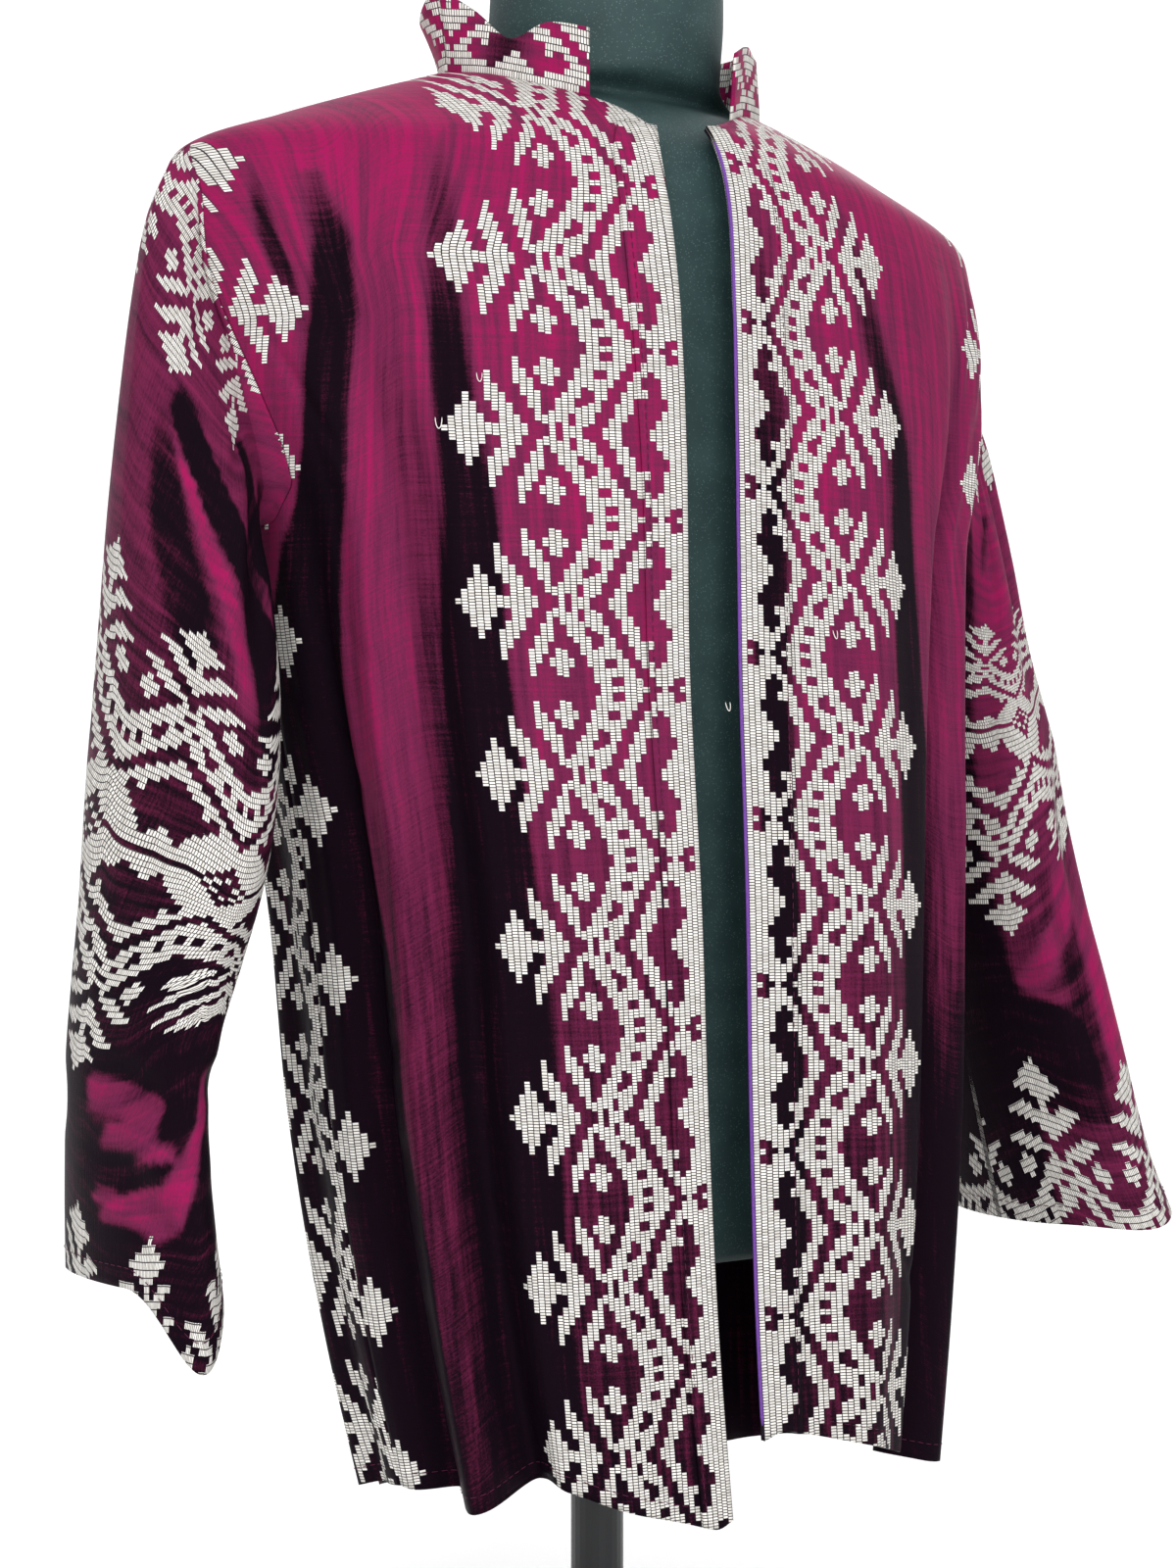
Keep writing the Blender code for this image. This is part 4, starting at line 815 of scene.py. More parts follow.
def build_panel(side, name):
    """Outer face: bare surface moved out by folds and creases; inner face: a cloth's thickness in."""
    phi, level = fine[side]
    z = z_of(level)
    # creases fade out at the panel's edges, so that the seams stay together
    from_side = np.minimum(np.arange(phi.shape[1]), np.arange(phi.shape[1])[::-1]) / CREASE_KEEP
    from_end = np.minimum(np.arange(len(phi)), np.arange(len(phi))[::-1]) / CREASE_KEEP
    keep = ease(from_side)[None, :] * ease(from_end)[:, None]
    depth = fold_depth(phi, z) + keep * crease_depth_body(phi, z)
    outer = body_bare(phi, level)[0] + normal_of(bare_points, phi, level) * depth[..., None]
    n = normal_of(body, phi, level)
    inner = outer - CLOTH * n
    for face in (outer, inner):
        if side:
            face[-1, :, 1] -= 0.5 * SEAM_GAP
        else:
            last = SHOULDER_STEPS * BACK_PARTS[0] + 1
            face[-1, :last, 1] += 0.5 * SEAM_GAP
            face[-1, -last:, 1] += 0.5 * SEAM_GAP
    threads = np.stack(body_threads(side, phi, level), axis=-1)
    # painted shade of the folds, the height and the dark bands, which the finish darkens the silk by
    shade = shade_of(phi, z, depth)
    PANELS[name] = {"outer": outer, "inner": inner, "n": n, "threads": threads, "shade": shade}
    return walled(name, outer, inner, threads_uv(threads), shade)


cloth_front_right = build_panel(-1, "cloth_front_right")
cloth_front_left = build_panel(1, "cloth_front_left")
cloth_back = build_panel(0, "cloth_back")
for name, panel in PANELS.items():
    across, up = panel["threads"][..., 0], panel["threads"][..., 1]
    print(name, "across", round(float(across.min()), 3), round(float(across.max()), 3),
          "up", round(float(up.min()), 3), round(float(up.max()), 3))

# %% [markdown]
# ## Front edge bands
# A strip of the same cloth, woven almost solid with pale threads, is folded over each front
# edge. It lies on the panel, so it is made from the panel's own points moved out.

# %% Build the bands
BAND_PUFF = 0.0004                   # how far the middle of a band stands up


def build_band(panel, name):
    """The panel's first columns, from the hem to the neck corner, moved out along its normals."""
    part = (slice(0, FINE_BAND_ROWS), slice(0, FINE_BAND_COLS))
    outer, n = PANELS[panel]["outer"][part], PANELS[panel]["n"][part]
    # the band carries the panel's painted shade
    threads, shade = PANELS[panel]["threads"][part], PANELS[panel]["shade"][part]
    cols = np.linspace(-1.0, 1.0, FINE_BAND_COLS)
    puff = BAND_PUFF * (1 - cols**2)[None, :, None]
    raised = outer + (SEAM_GAP + BAND_WALL + puff) * n
    PANELS[name] = {"outer": raised}
    return walled(name, raised, outer + SEAM_GAP * n, threads_uv(threads), shade)


edge_band_right = build_band("cloth_front_right", "edge_band_right")
edge_band_left = build_band("cloth_front_left", "edge_band_left")
print("edge bands", len(edge_band_right.data.polygons), "and", len(edge_band_left.data.polygons), "faces")

# %% [markdown]
# ## Sleeves
# A sleeve is a tube. Its first ring is the armhole, taken from the panels' own edges, and the rings
# below are ovals that hang forward a little. The wearer's right sleeve is crushed at the elbow, where
# short creases cross it, and the left one swings out to a wide cuff. Longer creases drag down
# from the underarm.

# %% Sleeve tables
RINGS = {
    -1: np.array([
        # out_x,  out_z,   in_x,    in_z,    mid_y,  half_y, front_drop
        (-0.2320, -0.0600, -0.2030, -0.2250, -0.0040, 0.0350, 0.0000),
        (-0.2420, -0.0800, -0.2075, -0.2300, -0.0080, 0.0385, 0.0000),
        (-0.2505, -0.1150, -0.2085, -0.2440, -0.0130, 0.0430, 0.0000),
        (-0.2580, -0.1600, -0.2075, -0.2640, -0.0180, 0.0490, 0.0000),
        (-0.2650, -0.2100, -0.2065, -0.2900, -0.0230, 0.0550, 0.0000),
        (-0.2700, -0.2620, -0.2065, -0.3200, -0.0270, 0.0610, 0.0000),
        (-0.2745, -0.3120, -0.2090, -0.3550, -0.0300, 0.0650, 0.0000),
        (-0.2790, -0.3570, -0.2160, -0.3900, -0.0320, 0.0630, 0.0010),
        (-0.2840, -0.3960, -0.2270, -0.4220, -0.0350, 0.0580, 0.0020),
        (-0.2890, -0.4290, -0.2380, -0.4500, -0.0380, 0.0540, 0.0030),
        (-0.2925, -0.4610, -0.2450, -0.4760, -0.0400, 0.0520, 0.0060),
        (-0.2925, -0.4950, -0.2450, -0.5040, -0.0400, 0.0530, 0.0110),
        (-0.2915, -0.5270, -0.2425, -0.5310, -0.0390, 0.0560, 0.0200),
        (-0.2900, -0.5560, -0.2380, -0.5600, -0.0370, 0.0580, 0.0330),
    ]),
    1: np.array([
        (0.2310, -0.0600, 0.2040, -0.2250, -0.0020, 0.0350, 0.0000),
        (0.2350, -0.0800, 0.2080, -0.2300, 0.0010, 0.0385, 0.0000),
        (0.2430, -0.1150, 0.2085, -0.2440, 0.0040, 0.0430, 0.0000),
        (0.2540, -0.1600, 0.2075, -0.2640, 0.0060, 0.0490, 0.0000),
        (0.2630, -0.2100, 0.2065, -0.2900, 0.0070, 0.0550, 0.0000),
        (0.2680, -0.2620, 0.2070, -0.3200, 0.0080, 0.0610, 0.0000),
        (0.2735, -0.3120, 0.2095, -0.3550, 0.0060, 0.0670, 0.0000),
        (0.2805, -0.3570, 0.2160, -0.3900, 0.0040, 0.0680, 0.0000),
        (0.2880, -0.3960, 0.2230, -0.4220, 0.0010, 0.0690, 0.0010),
        (0.2930, -0.4310, 0.2300, -0.4520, -0.0020, 0.0710, 0.0020),
        (0.2970, -0.4650, 0.2350, -0.4830, -0.0060, 0.0730, 0.0030),
        (0.3025, -0.4980, 0.2400, -0.5150, -0.0100, 0.0760, 0.0040),
        (0.3100, -0.5300, 0.2450, -0.5460, -0.0140, 0.0800, 0.0050),
        (0.3210, -0.5590, 0.2500, -0.5760, -0.0180, 0.0840, 0.0060),
    ]),
}
# place along, place round (degrees: 0 outer, 90 front, 180 inner, 270 back), half length along,
# half spread round, slant (degrees round for each unit along), depth in mm
CREASES_SLEEVE = {
    -1: np.array([
        (0.34, 118.0, 0.16, 24.0, -160.0, -5.0),
        (0.38, 84.0, 0.18, 22.0, -160.0, 3.5),
        (0.46, 50.0, 0.14, 22.0, -120.0, -3.5),
        (0.42, 235.0, 0.20, 26.0, 150.0, -5.0),
        (0.45, 285.0, 0.20, 26.0, 120.0, 3.5),
        (0.70, 60.0, 0.035, 60.0, 0.0, -4.5),
        (0.75, 85.0, 0.030, 60.0, 0.0, 3.0),
        (0.81, 50.0, 0.035, 55.0, 0.0, -5.0),
        (0.86, 80.0, 0.030, 60.0, 0.0, 3.5),
        (0.91, 60.0, 0.030, 50.0, 0.0, -4.0),
        (0.73, 260.0, 0.040, 60.0, 0.0, -4.5),
        (0.83, 280.0, 0.040, 60.0, 0.0, -4.5),
    ]),
    1: np.array([
        (0.36, 60.0, 0.20, 24.0, 110.0, -4.5),
        (0.44, 105.0, 0.20, 24.0, 90.0, 3.5),
        (0.60, 75.0, 0.16, 22.0, 60.0, -4.0),
        (0.75, 100.0, 0.20, 24.0, -40.0, -4.0),
        (0.82, 55.0, 0.18, 24.0, -40.0, 3.5),
        (0.42, 235.0, 0.20, 26.0, -120.0, -4.5),
        (0.62, 285.0, 0.20, 26.0, 60.0, 3.5),
        (0.80, 250.0, 0.20, 26.0, 0.0, -4.0),
    ]),
}
FINE_CREASES_SLEEVE = {
    -1: np.array([
        (0.20, 60.0, 0.10, 9.0, -150.0, -1.8),
        (0.26, 100.0, 0.12, 9.0, -170.0, -1.8),
        (0.52, 95.0, 0.09, 12.0, -160.0, -1.6),
        (0.62, 30.0, 0.06, 16.0, -160.0, -1.4),
        (0.22, 250.0, 0.12, 10.0, 120.0, -1.8),
        (0.55, 230.0, 0.10, 12.0, 150.0, -1.8),
        (0.66, 110.0, 0.05, 20.0, -220.0, -1.4),
        (0.78, 120.0, 0.03, 34.0, 90.0, -1.8),
        (0.88, 30.0, 0.03, 40.0, -120.0, -1.8),
        (0.95, 90.0, 0.03, 30.0, 60.0, -1.4),
    ]),
    1: np.array([
        (0.22, 70.0, 0.10, 9.0, 130.0, -1.8),
        (0.30, 100.0, 0.12, 9.0, 130.0, -1.6),
        (0.52, 40.0, 0.10, 12.0, 80.0, -1.6),
        (0.66, 110.0, 0.09, 10.0, -60.0, -1.6),
        (0.24, 250.0, 0.12, 10.0, -120.0, -1.8),
        (0.56, 240.0, 0.10, 12.0, -80.0, -1.8),
        (0.90, 80.0, 0.08, 10.0, -20.0, -1.4),
        (0.88, 130.0, 0.08, 12.0, 20.0, -1.4),
    ]),
}
SLEEVE_ROWS_FINE = 124
SLEEVE_STEPS = 18.0                  # steps from the armhole to the cuff; the first two are the seam
OVAL_RINGS, OVAL_POWER = 6.0, 1.2     # rings over which the armhole's shape eases into an oval
CUFF_SPREAD = 60.0                   # degrees each side of the front over which the cuff dips
SLEEVE_FOLD = 0.006                  # depth of a crease at which its shade is full
PAINTED_STREAK_SOFT = 9.0                    # degrees over which a streak fades at its sides
UNDERARM_SHORT = 0.10                # how much shorter the cloth is down the inner arm
HALF_SLEEVE = 0.150                  # half the distance from one band to the next, round the arm
SLANT = {-1: 0.040, 1: 0.020}        # how much lower the bands lie on the front of the arm
# Metres down the arm, at each angle round it, of the lower tips of the first band, the upper tips,
# the middle and the lower tips of the second, and the upper tips of the third
TIPS_DOWN = {
    -1: np.array([
        # round, first, upper, middle, lower, third
        (-180.0, 0.120, 0.205, 0.300, 0.390, 0.440), (-90.0, 0.102, 0.196, 0.330, 0.430, 0.490),
        (-35.0, 0.097, 0.1950, 0.3334, 0.438, 0.4920), (-18.0, 0.096, 0.1950, 0.3290, 0.4377, 0.4920),
        (0.0, 0.096, 0.1957, 0.3216, 0.432, 0.4890), (35.0, 0.0995, 0.1990, 0.3099, 0.408, 0.4730),
        (57.0, 0.102, 0.2041, 0.3065, 0.386, 0.4640), (90.0, 0.110, 0.2120, 0.3045, 0.3562, 0.4460),
        (110.0, 0.114, 0.216, 0.3030, 0.352, 0.4380), (180.0, 0.120, 0.205, 0.300, 0.390, 0.440),
    ]),
    1: np.array([
        (-180.0, 0.118, 0.190, 0.262, 0.355, 0.430), (-90.0, 0.118, 0.180, 0.235, 0.320, 0.415),
        (0.0, 0.116, 0.1700, 0.2150, 0.285, 0.410), (70.0, 0.116, 0.1705, 0.2210, 0.2988, 0.411),
        (85.0, 0.116, 0.1713, 0.2230, 0.307, 0.409), (102.5, 0.1161, 0.1760, 0.2254, 0.318, 0.407),
        (122.5, 0.117, 0.1825, 0.2320, 0.331, 0.405), (137.5, 0.118, 0.187, 0.240, 0.3405, 0.403),
        (150.0, 0.119, 0.189, 0.245, 0.346, 0.404), (180.0, 0.118, 0.190, 0.262, 0.355, 0.430),
    ]),
}
SLEEVE_TIP = 38.5 * COLUMN           # from the middle of a whole band to its tips
SECOND, THIRD = 2 * HALF_SLEEVE, 4 * HALF_SLEEVE
TIP_COUNTS = np.array([SLEEVE_TIP, SECOND - SLEEVE_TIP, SECOND, SECOND + SLEEVE_TIP, THIRD - SLEEVE_TIP])
# Where four of the weft rows that pass through tips lie: metres down the arm, then metres round it
TIP_ROWS = {
    # weft rows from the one that the count starts at
    -1: (-112, -56, 0, 56),
    1: (-56, 0, 56, 112),
}
TIPS_ROUND = {
    -1: np.array([
        # down, round the arm at each of the four rows
        (0.000, -0.2750, -0.2050, -0.1350, -0.0650), (0.100, -0.2350, -0.1660, -0.0975, -0.0275),
        (0.200, -0.1800, -0.1180, -0.0565, 0.0040), (0.286, -0.1750, -0.1140, -0.0468, 0.0350),
        (0.310, -0.1680, -0.1065, -0.0361, 0.0600), (0.334, -0.1550, -0.0880, -0.0275, 0.0850),
        (0.356, -0.1350, -0.0661, -0.0190, 0.0800), (0.438, -0.1050, -0.0505, 0.0157, 0.0800),
        (0.481, -0.0900, -0.0440, 0.0100, 0.0700), (0.600, -0.0900, -0.0440, 0.0100, 0.0700),
    ]),
    1: np.array([
        (0.000, -0.1540, -0.0840, -0.0140, 0.0560), (0.116, -0.1640, -0.0942, -0.0400, 0.0300),
        (0.180, -0.1720, -0.1026, -0.0725, 0.0000), (0.225, -0.1760, -0.1068, -0.0710, 0.0000),
        (0.300, -0.1820, -0.1135, -0.0706, -0.0010), (0.3405, -0.1850, -0.1174, -0.0730, -0.0030),
        (0.403, -0.1970, -0.1304, -0.0790, -0.0090), (0.600, -0.2100, -0.1450, -0.0880, -0.0180),
    ]),
}
BEAT_PAST = 1.1                      # how close the rows lie beyond the four, against the body's
# Painted shade of the open cloth down each sleeve (share of its length), then its streaks of painted
# shade and painted light: place, the two angles, strength (minus is painted light)
SLEEVE_SHADE = {
    -1: np.array([(0.0, 0.10), (0.15, 0.28), (0.25, 0.42), (0.40, 0.45), (0.55, 0.72), (0.75, 0.92),
                  (1.0, 0.92)]),
    1: np.array([(0.0, 0.25), (0.15, 0.12), (0.35, 0.10), (0.50, 0.30), (0.62, 0.48), (0.75, 0.52),
                 (1.0, 0.50)]),
}
SLEEVE_PAINTED_STREAKS = {
    -1: (
        np.array([(0.290, 44.0, 54.0, 0.0), (0.305, 38.0, 62.0, 0.6), (0.321, 34.0, 76.0, 1.0),
                  (0.342, 44.0, 96.0, 1.0), (0.364, 62.0, 116.0, 1.0), (0.386, 80.0, 136.0, 1.0),
                  (0.407, 92.0, 142.0, 1.0), (0.450, 100.0, 146.0, 1.0), (0.520, 106.0, 150.0, 0.7)]),
        np.array([(0.200, 112.0, 130.0, 0.0), (0.234, 106.0, 140.0, 0.9), (0.285, 118.0, 150.0, 1.0),
                  (0.330, 130.0, 160.0, 1.0)]),
        np.array([(0.10, 140.0, 250.0, 0.0), (0.18, 140.0, 255.0, 0.75), (0.60, 132.0, 255.0, 0.6),
                  (1.00, 135.0, 255.0, 0.6)]),
        np.array([(0.330, 22.0, 36.0, 0.1), (0.357, 20.0, 42.0, 0.45), (0.407, 22.0, 54.0, 0.5),
                  (0.436, 30.0, 66.0, 0.4), (0.480, 40.0, 70.0, 0.1)]),
        np.array([(0.335, 30.0, 42.0, -0.1), (0.357, 44.0, 57.0, -0.8), (0.393, 60.0, 74.0, -0.9),
                  (0.422, 72.0, 87.0, -0.9), (0.465, 80.0, 95.0, -0.6), (0.500, 84.0, 98.0, 0.0)]),
        np.array([(0.800, 8.0, 60.0, 0.0), (0.812, 2.0, 66.0, -0.8), (0.832, 2.0, 60.0, -0.8),
                  (0.842, 10.0, 60.0, -0.2)]),
        np.array([(0.838, 40.0, 76.0, -0.2), (0.848, 20.0, 76.0, -0.8), (0.862, 14.0, 60.0, -0.6),
                  (0.875, 10.0, 40.0, 0.0)]),
        np.array([(0.765, 104.0, 116.0, -0.2), (0.783, 104.0, 118.0, -0.8), (0.812, 100.0, 116.0, -0.9),
                  (0.827, 92.0, 108.0, -0.9), (0.855, 74.0, 94.0, -0.9), (0.877, 64.0, 88.0, -0.9),
                  (0.899, 42.0, 80.0, -0.9), (0.925, 12.0, 60.0, -0.9), (0.940, 12.0, 50.0, -0.2)]),
        np.array([(0.903, 8.0, 24.0, -0.2), (0.913, 6.0, 26.0, -0.8), (0.922, 8.0, 24.0, -0.2)]),
        np.array([(0.14, 270.0, 290.0, 0.1), (0.30, 262.0, 286.0, 0.6), (0.50, 255.0, 290.0, 0.4)]),
    ),
    1: (
        np.array([(0.08, 140.0, 240.0, 0.1), (0.16, 132.0, 245.0, 0.6), (0.45, 140.0, 250.0, 0.6),
                  (1.00, 150.0, 250.0, 0.5)]),
        np.array([(0.255, 96.0, 112.0, 0.0), (0.280, 90.0, 118.0, 0.6), (0.305, 104.0, 124.0, 0.1)]),
        np.array([(0.690, 150.0, 180.0, 0.2), (0.730, 140.0, 180.0, 0.5), (0.770, 105.0, 170.0, 0.5),
                  (0.820, 100.0, 160.0, 0.5), (0.880, 100.0, 150.0, 0.2)]),
        np.array([(0.600, 84.0, 100.0, -0.2), (0.653, 88.0, 110.0, -0.6), (0.682, 100.0, 122.0, -0.6),
                  (0.718, 120.0, 142.0, -0.4), (0.750, 134.0, 152.0, 0.0)]),
        np.array([(0.600, 50.0, 90.0, -0.2), (0.700, 52.0, 88.0, -0.5), (0.800, 52.0, 86.0, -0.5),
                  (0.880, 50.0, 80.0, -0.3)]),
        np.array([(0.14, 262.0, 280.0, 0.1), (0.34, 258.0, 290.0, 0.6), (0.60, 262.0, 292.0, 0.4)]),
    ),
}


# %% Sleeve surface
def crease_depth(table, t, psi):
    """Sum of the creases: a hump along the sleeve times a hump round it, slanted."""
    total = np.zeros(np.broadcast(t, psi).shape)
    for place, at, reach, spread, slant, depth in table:
        away = wrap(psi - at - slant * (t - place))
        total = total + 0.001 * depth * bump((t - place) / reach) * bump(away / spread)
    return total


def tube_normals(points):
    """Outward directions of a tube: the cross product of the steps round and along it."""
    around = np.roll(points, -1, axis=1) - np.roll(points, 1, axis=1)
    n = unit(np.cross(around, np.gradient(points, axis=0)))
    out = (n * (points - points.mean(axis=1, keepdims=True))).sum(-1).mean()
    return n if out > 0 else -n


def armhole(front, back_col):
    """Loop of points round an armhole: underarm, front edge, shoulder point, back edge."""
    loops = []
    for key in ("outer", "inner", "n"):
        f = PANELS[front][key][FINE_SIDE:, -1]
        b = PANELS["cloth_back"][key][FINE_SIDE:, back_col]
        loops.append(np.concatenate([(f[:1] + b[:1]) / 2, f[1:-1], (f[-1:] + b[-1:]) / 2, b[-2:0:-1]]))
    outer, inner, n = loops[0], loops[1], unit(loops[2])
    run = unit(np.roll(outer, -1, axis=0) - np.roll(outer, 1, axis=0))
    toward = unit(np.cross(run, n))
    if (toward * (outer.mean(axis=0) - outer)).sum(-1).mean() < 0:
        toward = -toward
    return outer, inner, toward


def build_sleeve(side, name, front, back_col):
    """Oval at each place down the arm: x and z run between its outer and inner edge with the
    cosine of the angle round it, and y with the sine; near the top the armhole's own shape eases in."""
    table = RINGS[side]
    arm_outer, arm_inner, toward = armhole(front, back_col)
    count = len(arm_outer)
    psi = (180.0 - np.arange(count) * 360.0 / count) % 360.0
    places = np.linspace(1.0, len(table), SLEEVE_ROWS_FINE)
    k = np.arange(1, len(table) + 1, dtype=float)
    ox, oz, ix, iz, my, hy, drop = (smooth(places, k, column)[:, None] for column in table.T)
    crown, foot = arm_outer[count // 2], arm_outer[0]
    middle, axis = (crown + foot) / 2, unit(crown - foot)
    up = ((arm_outer - middle) @ axis) / (np.linalg.norm(crown - foot) / 2)
    across = middle[1] - arm_outer[:, 1]
    across = across / np.where(across > 0, across.max(), -across.min())
    mix = np.clip((places - 1.0) / OVAL_RINGS, 0.0, 1.0)[:, None] ** OVAL_POWER
    c = up[None, :] * (1 - mix) + np.cos(np.radians(psi))[None, :] * mix
    s = across[None, :] * (1 - mix) + np.sin(np.radians(psi))[None, :] * mix
    x = (ox + ix) / 2 + (ox - ix) / 2 * c
    z = (oz + iz) / 2 + (oz - iz) / 2 * c - drop * bump((psi - 90.0) / CUFF_SPREAD)[None, :]
    x, lower = lean(x, z)
    grid = np.stack([x, my - hy * s, NECK_POINT_Z + z - lower], axis=-1)
    seam = np.stack([arm_outer + ARM_GAP * toward, arm_outer + ALLOWANCE * toward])
    full = np.concatenate([seam, grid])
    t = np.concatenate([[0.0, 0.5], np.linspace(2.0, SLEEVE_STEPS, SLEEVE_ROWS_FINE)]) / SLEEVE_STEPS
    depth = crease_depth(CREASES_SLEEVE[side], t[:, None], psi[None, :])
    depth = depth + crease_depth(FINE_CREASES_SLEEVE[side], t[:, None], psi[None, :])
    full = full + tube_normals(full) * depth[..., None]
    n = tube_normals(full)
    full[:2] = seam
    inner = full - CLOTH * n
    inner[0], inner[1] = arm_inner + ARM_GAP * toward, arm_inner + ALLOWANCE * toward
    threads = sleeve_threads(side, full, psi)
    # painted shade of the sleeve: darker down it, in its creases and dark streaks, lighter in painted lit
    # streaks
    open_shade = np.interp(t, SLEEVE_SHADE[side][:, 0], SLEEVE_SHADE[side][:, 1])[:, None]
    fold_shade = FOLD_SHARE * ease(np.clip(-depth / SLEEVE_FOLD, 0, 1))
    painted_streaks = banded(t[:, None], psi[None, :], SLEEVE_PAINTED_STREAKS[side], PAINTED_STREAK_SOFT)
    shade = np.clip(open_shade + fold_shade + painted_streaks, 0, 1)
    PANELS[name] = {"outer": full, "inner": inner, "n": n, "threads": threads, "shade": shade}
    return walled(name, full, inner, threads_uv(threads), shade, ring=True)


def sleeve_threads(side, points, psi):
    """The weft runs down the arm. Metres down and round are measured on the tube, and then read
    through tables, so that the tips of the bands stand where the cutter laid them."""
    down = run_length(points)
    head = points[0, len(psi) // 2, 2] - points[0, :, 2]
    inner = (1 - np.cos(np.radians(psi)))[None, :] / 2
    down = down * (1.0 - UNDERARM_SHORT * inner) + head[None, :]
    down = down - SLANT[side] * np.sin(np.radians(psi))[None, :]
    around = run_length(points, axis=1)
    around = around - around[:, [len(psi) // 2]]
    table = TIPS_DOWN[side]
    knots = np.stack([np.interp(wrap(psi), table[:, 0], column) for column in table.T[1:]])
    counted = np.empty_like(down)
    for col in range(len(psi)):
        d = down[:, col]
        inside = np.interp(d, knots[:, col], TIP_COUNTS)
        before, beyond = d - knots[0, col], d - knots[-1, col]
        counted[:, col] = inside + np.minimum(before, 0.0) + np.maximum(beyond, 0.0)
    lines = [np.interp(down, TIPS_ROUND[side][:, 0], column) for column in TIPS_ROUND[side].T[1:]]
    rows = np.array(TIP_ROWS[side]) * ROW
    round_count = rows[0] + BEAT_PAST * (around - lines[0])
    for near, far, first, last in zip(lines, lines[1:], rows, rows[1:]):
        close = (last - first) / (far - near)
        round_count = round_count + (close - BEAT_PAST) * np.clip(around - near, 0.0, far - near)
    return np.stack([counted, round_count], axis=-1)


cloth_sleeve_right = build_sleeve(-1, "cloth_sleeve_right", "cloth_front_right", -1)
cloth_sleeve_left = build_sleeve(1, "cloth_sleeve_left", "cloth_front_left", 0)
for name in ("cloth_sleeve_right", "cloth_sleeve_left"):
    threads = PANELS[name]["threads"]
    print(name, "down", round(float(threads[..., 0].max()), 3),
          "round", round(float(np.ptp(threads[-1, :, 1])), 3))

# %% [markdown]
# ## Stand collar
# The collar is a straight strip sewn to the neck edge. It has no stiffening, so its top edge waves
# and leans. It rises from the panels' own neck points.

# %% Build the collar
COLLAR = np.array([
    # place, height, lean outward
    (0.00, 0.0310, 0.001),
    (0.05, 0.0290, 0.000),
    (0.11, 0.0180, -0.004),
    (0.16, 0.0300, 0.000),
    (0.20, 0.0370, 0.005),
    (0.25, 0.0290, 0.009),
    (0.30, 0.0240, 0.010),
    (0.38, 0.0340, 0.005),
    (0.50, 0.0370, 0.002),
    (0.62, 0.0350, 0.004),
    (0.70, 0.0310, 0.006),
    (0.78, 0.0350, 0.004),
    (0.86, 0.0290, -0.002),
    (0.94, 0.0330, 0.002),
    (1.00, 0.0310, 0.003),
])
NECK_CENTRE_Y = -0.008
COLLAR_RISE = 0.0006
COLLAR_ROWS = 12
COLLAR_FOOT = 2 * COLUMN             # the collar is cut from the third column of a band outward
COLLAR_CURVE = 1.3                   # power with which the collar leans out toward its top
RIPPLE, RIPPLE_TURNS = 0.0006, 61.0  # small waves of its top edge
LEAN_SHADE = 0.006                   # lean at which its shade is full
AIM_HEIGHT = 0.05                    # the middle of the neck that the seam faces, above the neck point


def neck_loop():
    """Neck edge from the right front end of the collar round the back to the left front end."""
    start = FINE_BAND_ROWS - 1 + 2 * ROW_PARTS[2]
    edge = SHOULDER_STEPS * BACK_PARTS[0]
    loops = []
    for key in ("outer", "inner", "n"):
        right = PANELS["cloth_front_right"][key][start:, 0]
        behind = PANELS["cloth_back"][key][-1, edge:-edge][::-1]
        left = PANELS["cloth_front_left"][key][start:, 0][::-1]
        loops.append(np.concatenate([right[:-1], (right[-1:] + behind[:1]) / 2, behind[1:-1],
                                     (behind[-1:] + left[:1]) / 2, left[1:]]))
    return loops[0], loops[1], unit(loops[2])


def build_collar(name):
    """Each point of the neck edge rises by a share of the collar's height there, and leans out with
    a power of that share."""
    outer_edge, inner_edge, n = neck_loop()
    run = run_length(outer_edge)
    t = run / run[-1]
    toward = unit(np.cross(unit(np.gradient(outer_edge, axis=0)), n))
    middle = np.array([0.0, NECK_CENTRE_Y, NECK_POINT_Z + AIM_HEIGHT])
    toward = np.where((toward * (middle - outer_edge)).sum(-1, keepdims=True) < 0, -toward, toward)
    outward = outer_edge - np.array([0.0, NECK_CENTRE_Y, 0.0])
    outward[:, 2] = 0.0
    outward = unit(outward)
    height, leaning = (smooth(t, COLLAR[:, 0], column) for column in COLLAR.T[1:])
    base = outer_edge + SEAM_GAP * toward
    share = np.linspace(0.0, 1.0, COLLAR_ROWS)[:, None]
    rise = COLLAR_RISE + height[None, :] * share
    ripple = RIPPLE * np.sin(t * RIPPLE_TURNS)[None, :] * share**2
    outer = base[None] + rise[..., None] * np.array([0.0, 0.0, 1.0])
    outer = outer + (leaning[None, :] * share**COLLAR_CURVE + ripple)[..., None] * outward[None]
    outer = np.concatenate([(inner_edge + SEAM_GAP * toward)[None], outer])
    inner = outer - CLOTH * outward[None]
    rise = np.concatenate([np.zeros((1, len(t))), rise])
    threads = np.stack([COLLAR_FOOT + rise, np.tile(run, (len(rise), 1))], axis=-1)
    # painted shade: the collar is darker where it leans in
    shade = ease(np.clip(-leaning / LEAN_SHADE, 0, 1))[None, :] * np.ones_like(rise)
    PANELS[name] = {"outer": outer, "inner": inner, "threads": threads, "shade": shade}
    return walled(name, outer, inner, threads_uv(threads), shade)


cloth_collar = build_collar("cloth_collar")
print("collar length", round(float(PANELS["cloth_collar"]["threads"][0, -1, 1]), 3))

# %% [markdown]
# ## Sewing
# The hems, the cuffs and the inner edge of each front band are held by rows of running stitches.
# Each stitch is a short piece of thread that bows up from the cloth and dips into it at both ends,
# so it is a small tube, thinner at its ends. The wearer's left front edge is piped with purple,
# sewn down all along, and a few of the pale weft threads end in loose loops.

# %% Tubes of thread
THREAD_SIDES = 6
ASKEW = np.array([0.31, 0.17, 0.94])  # a direction that no thread runs along


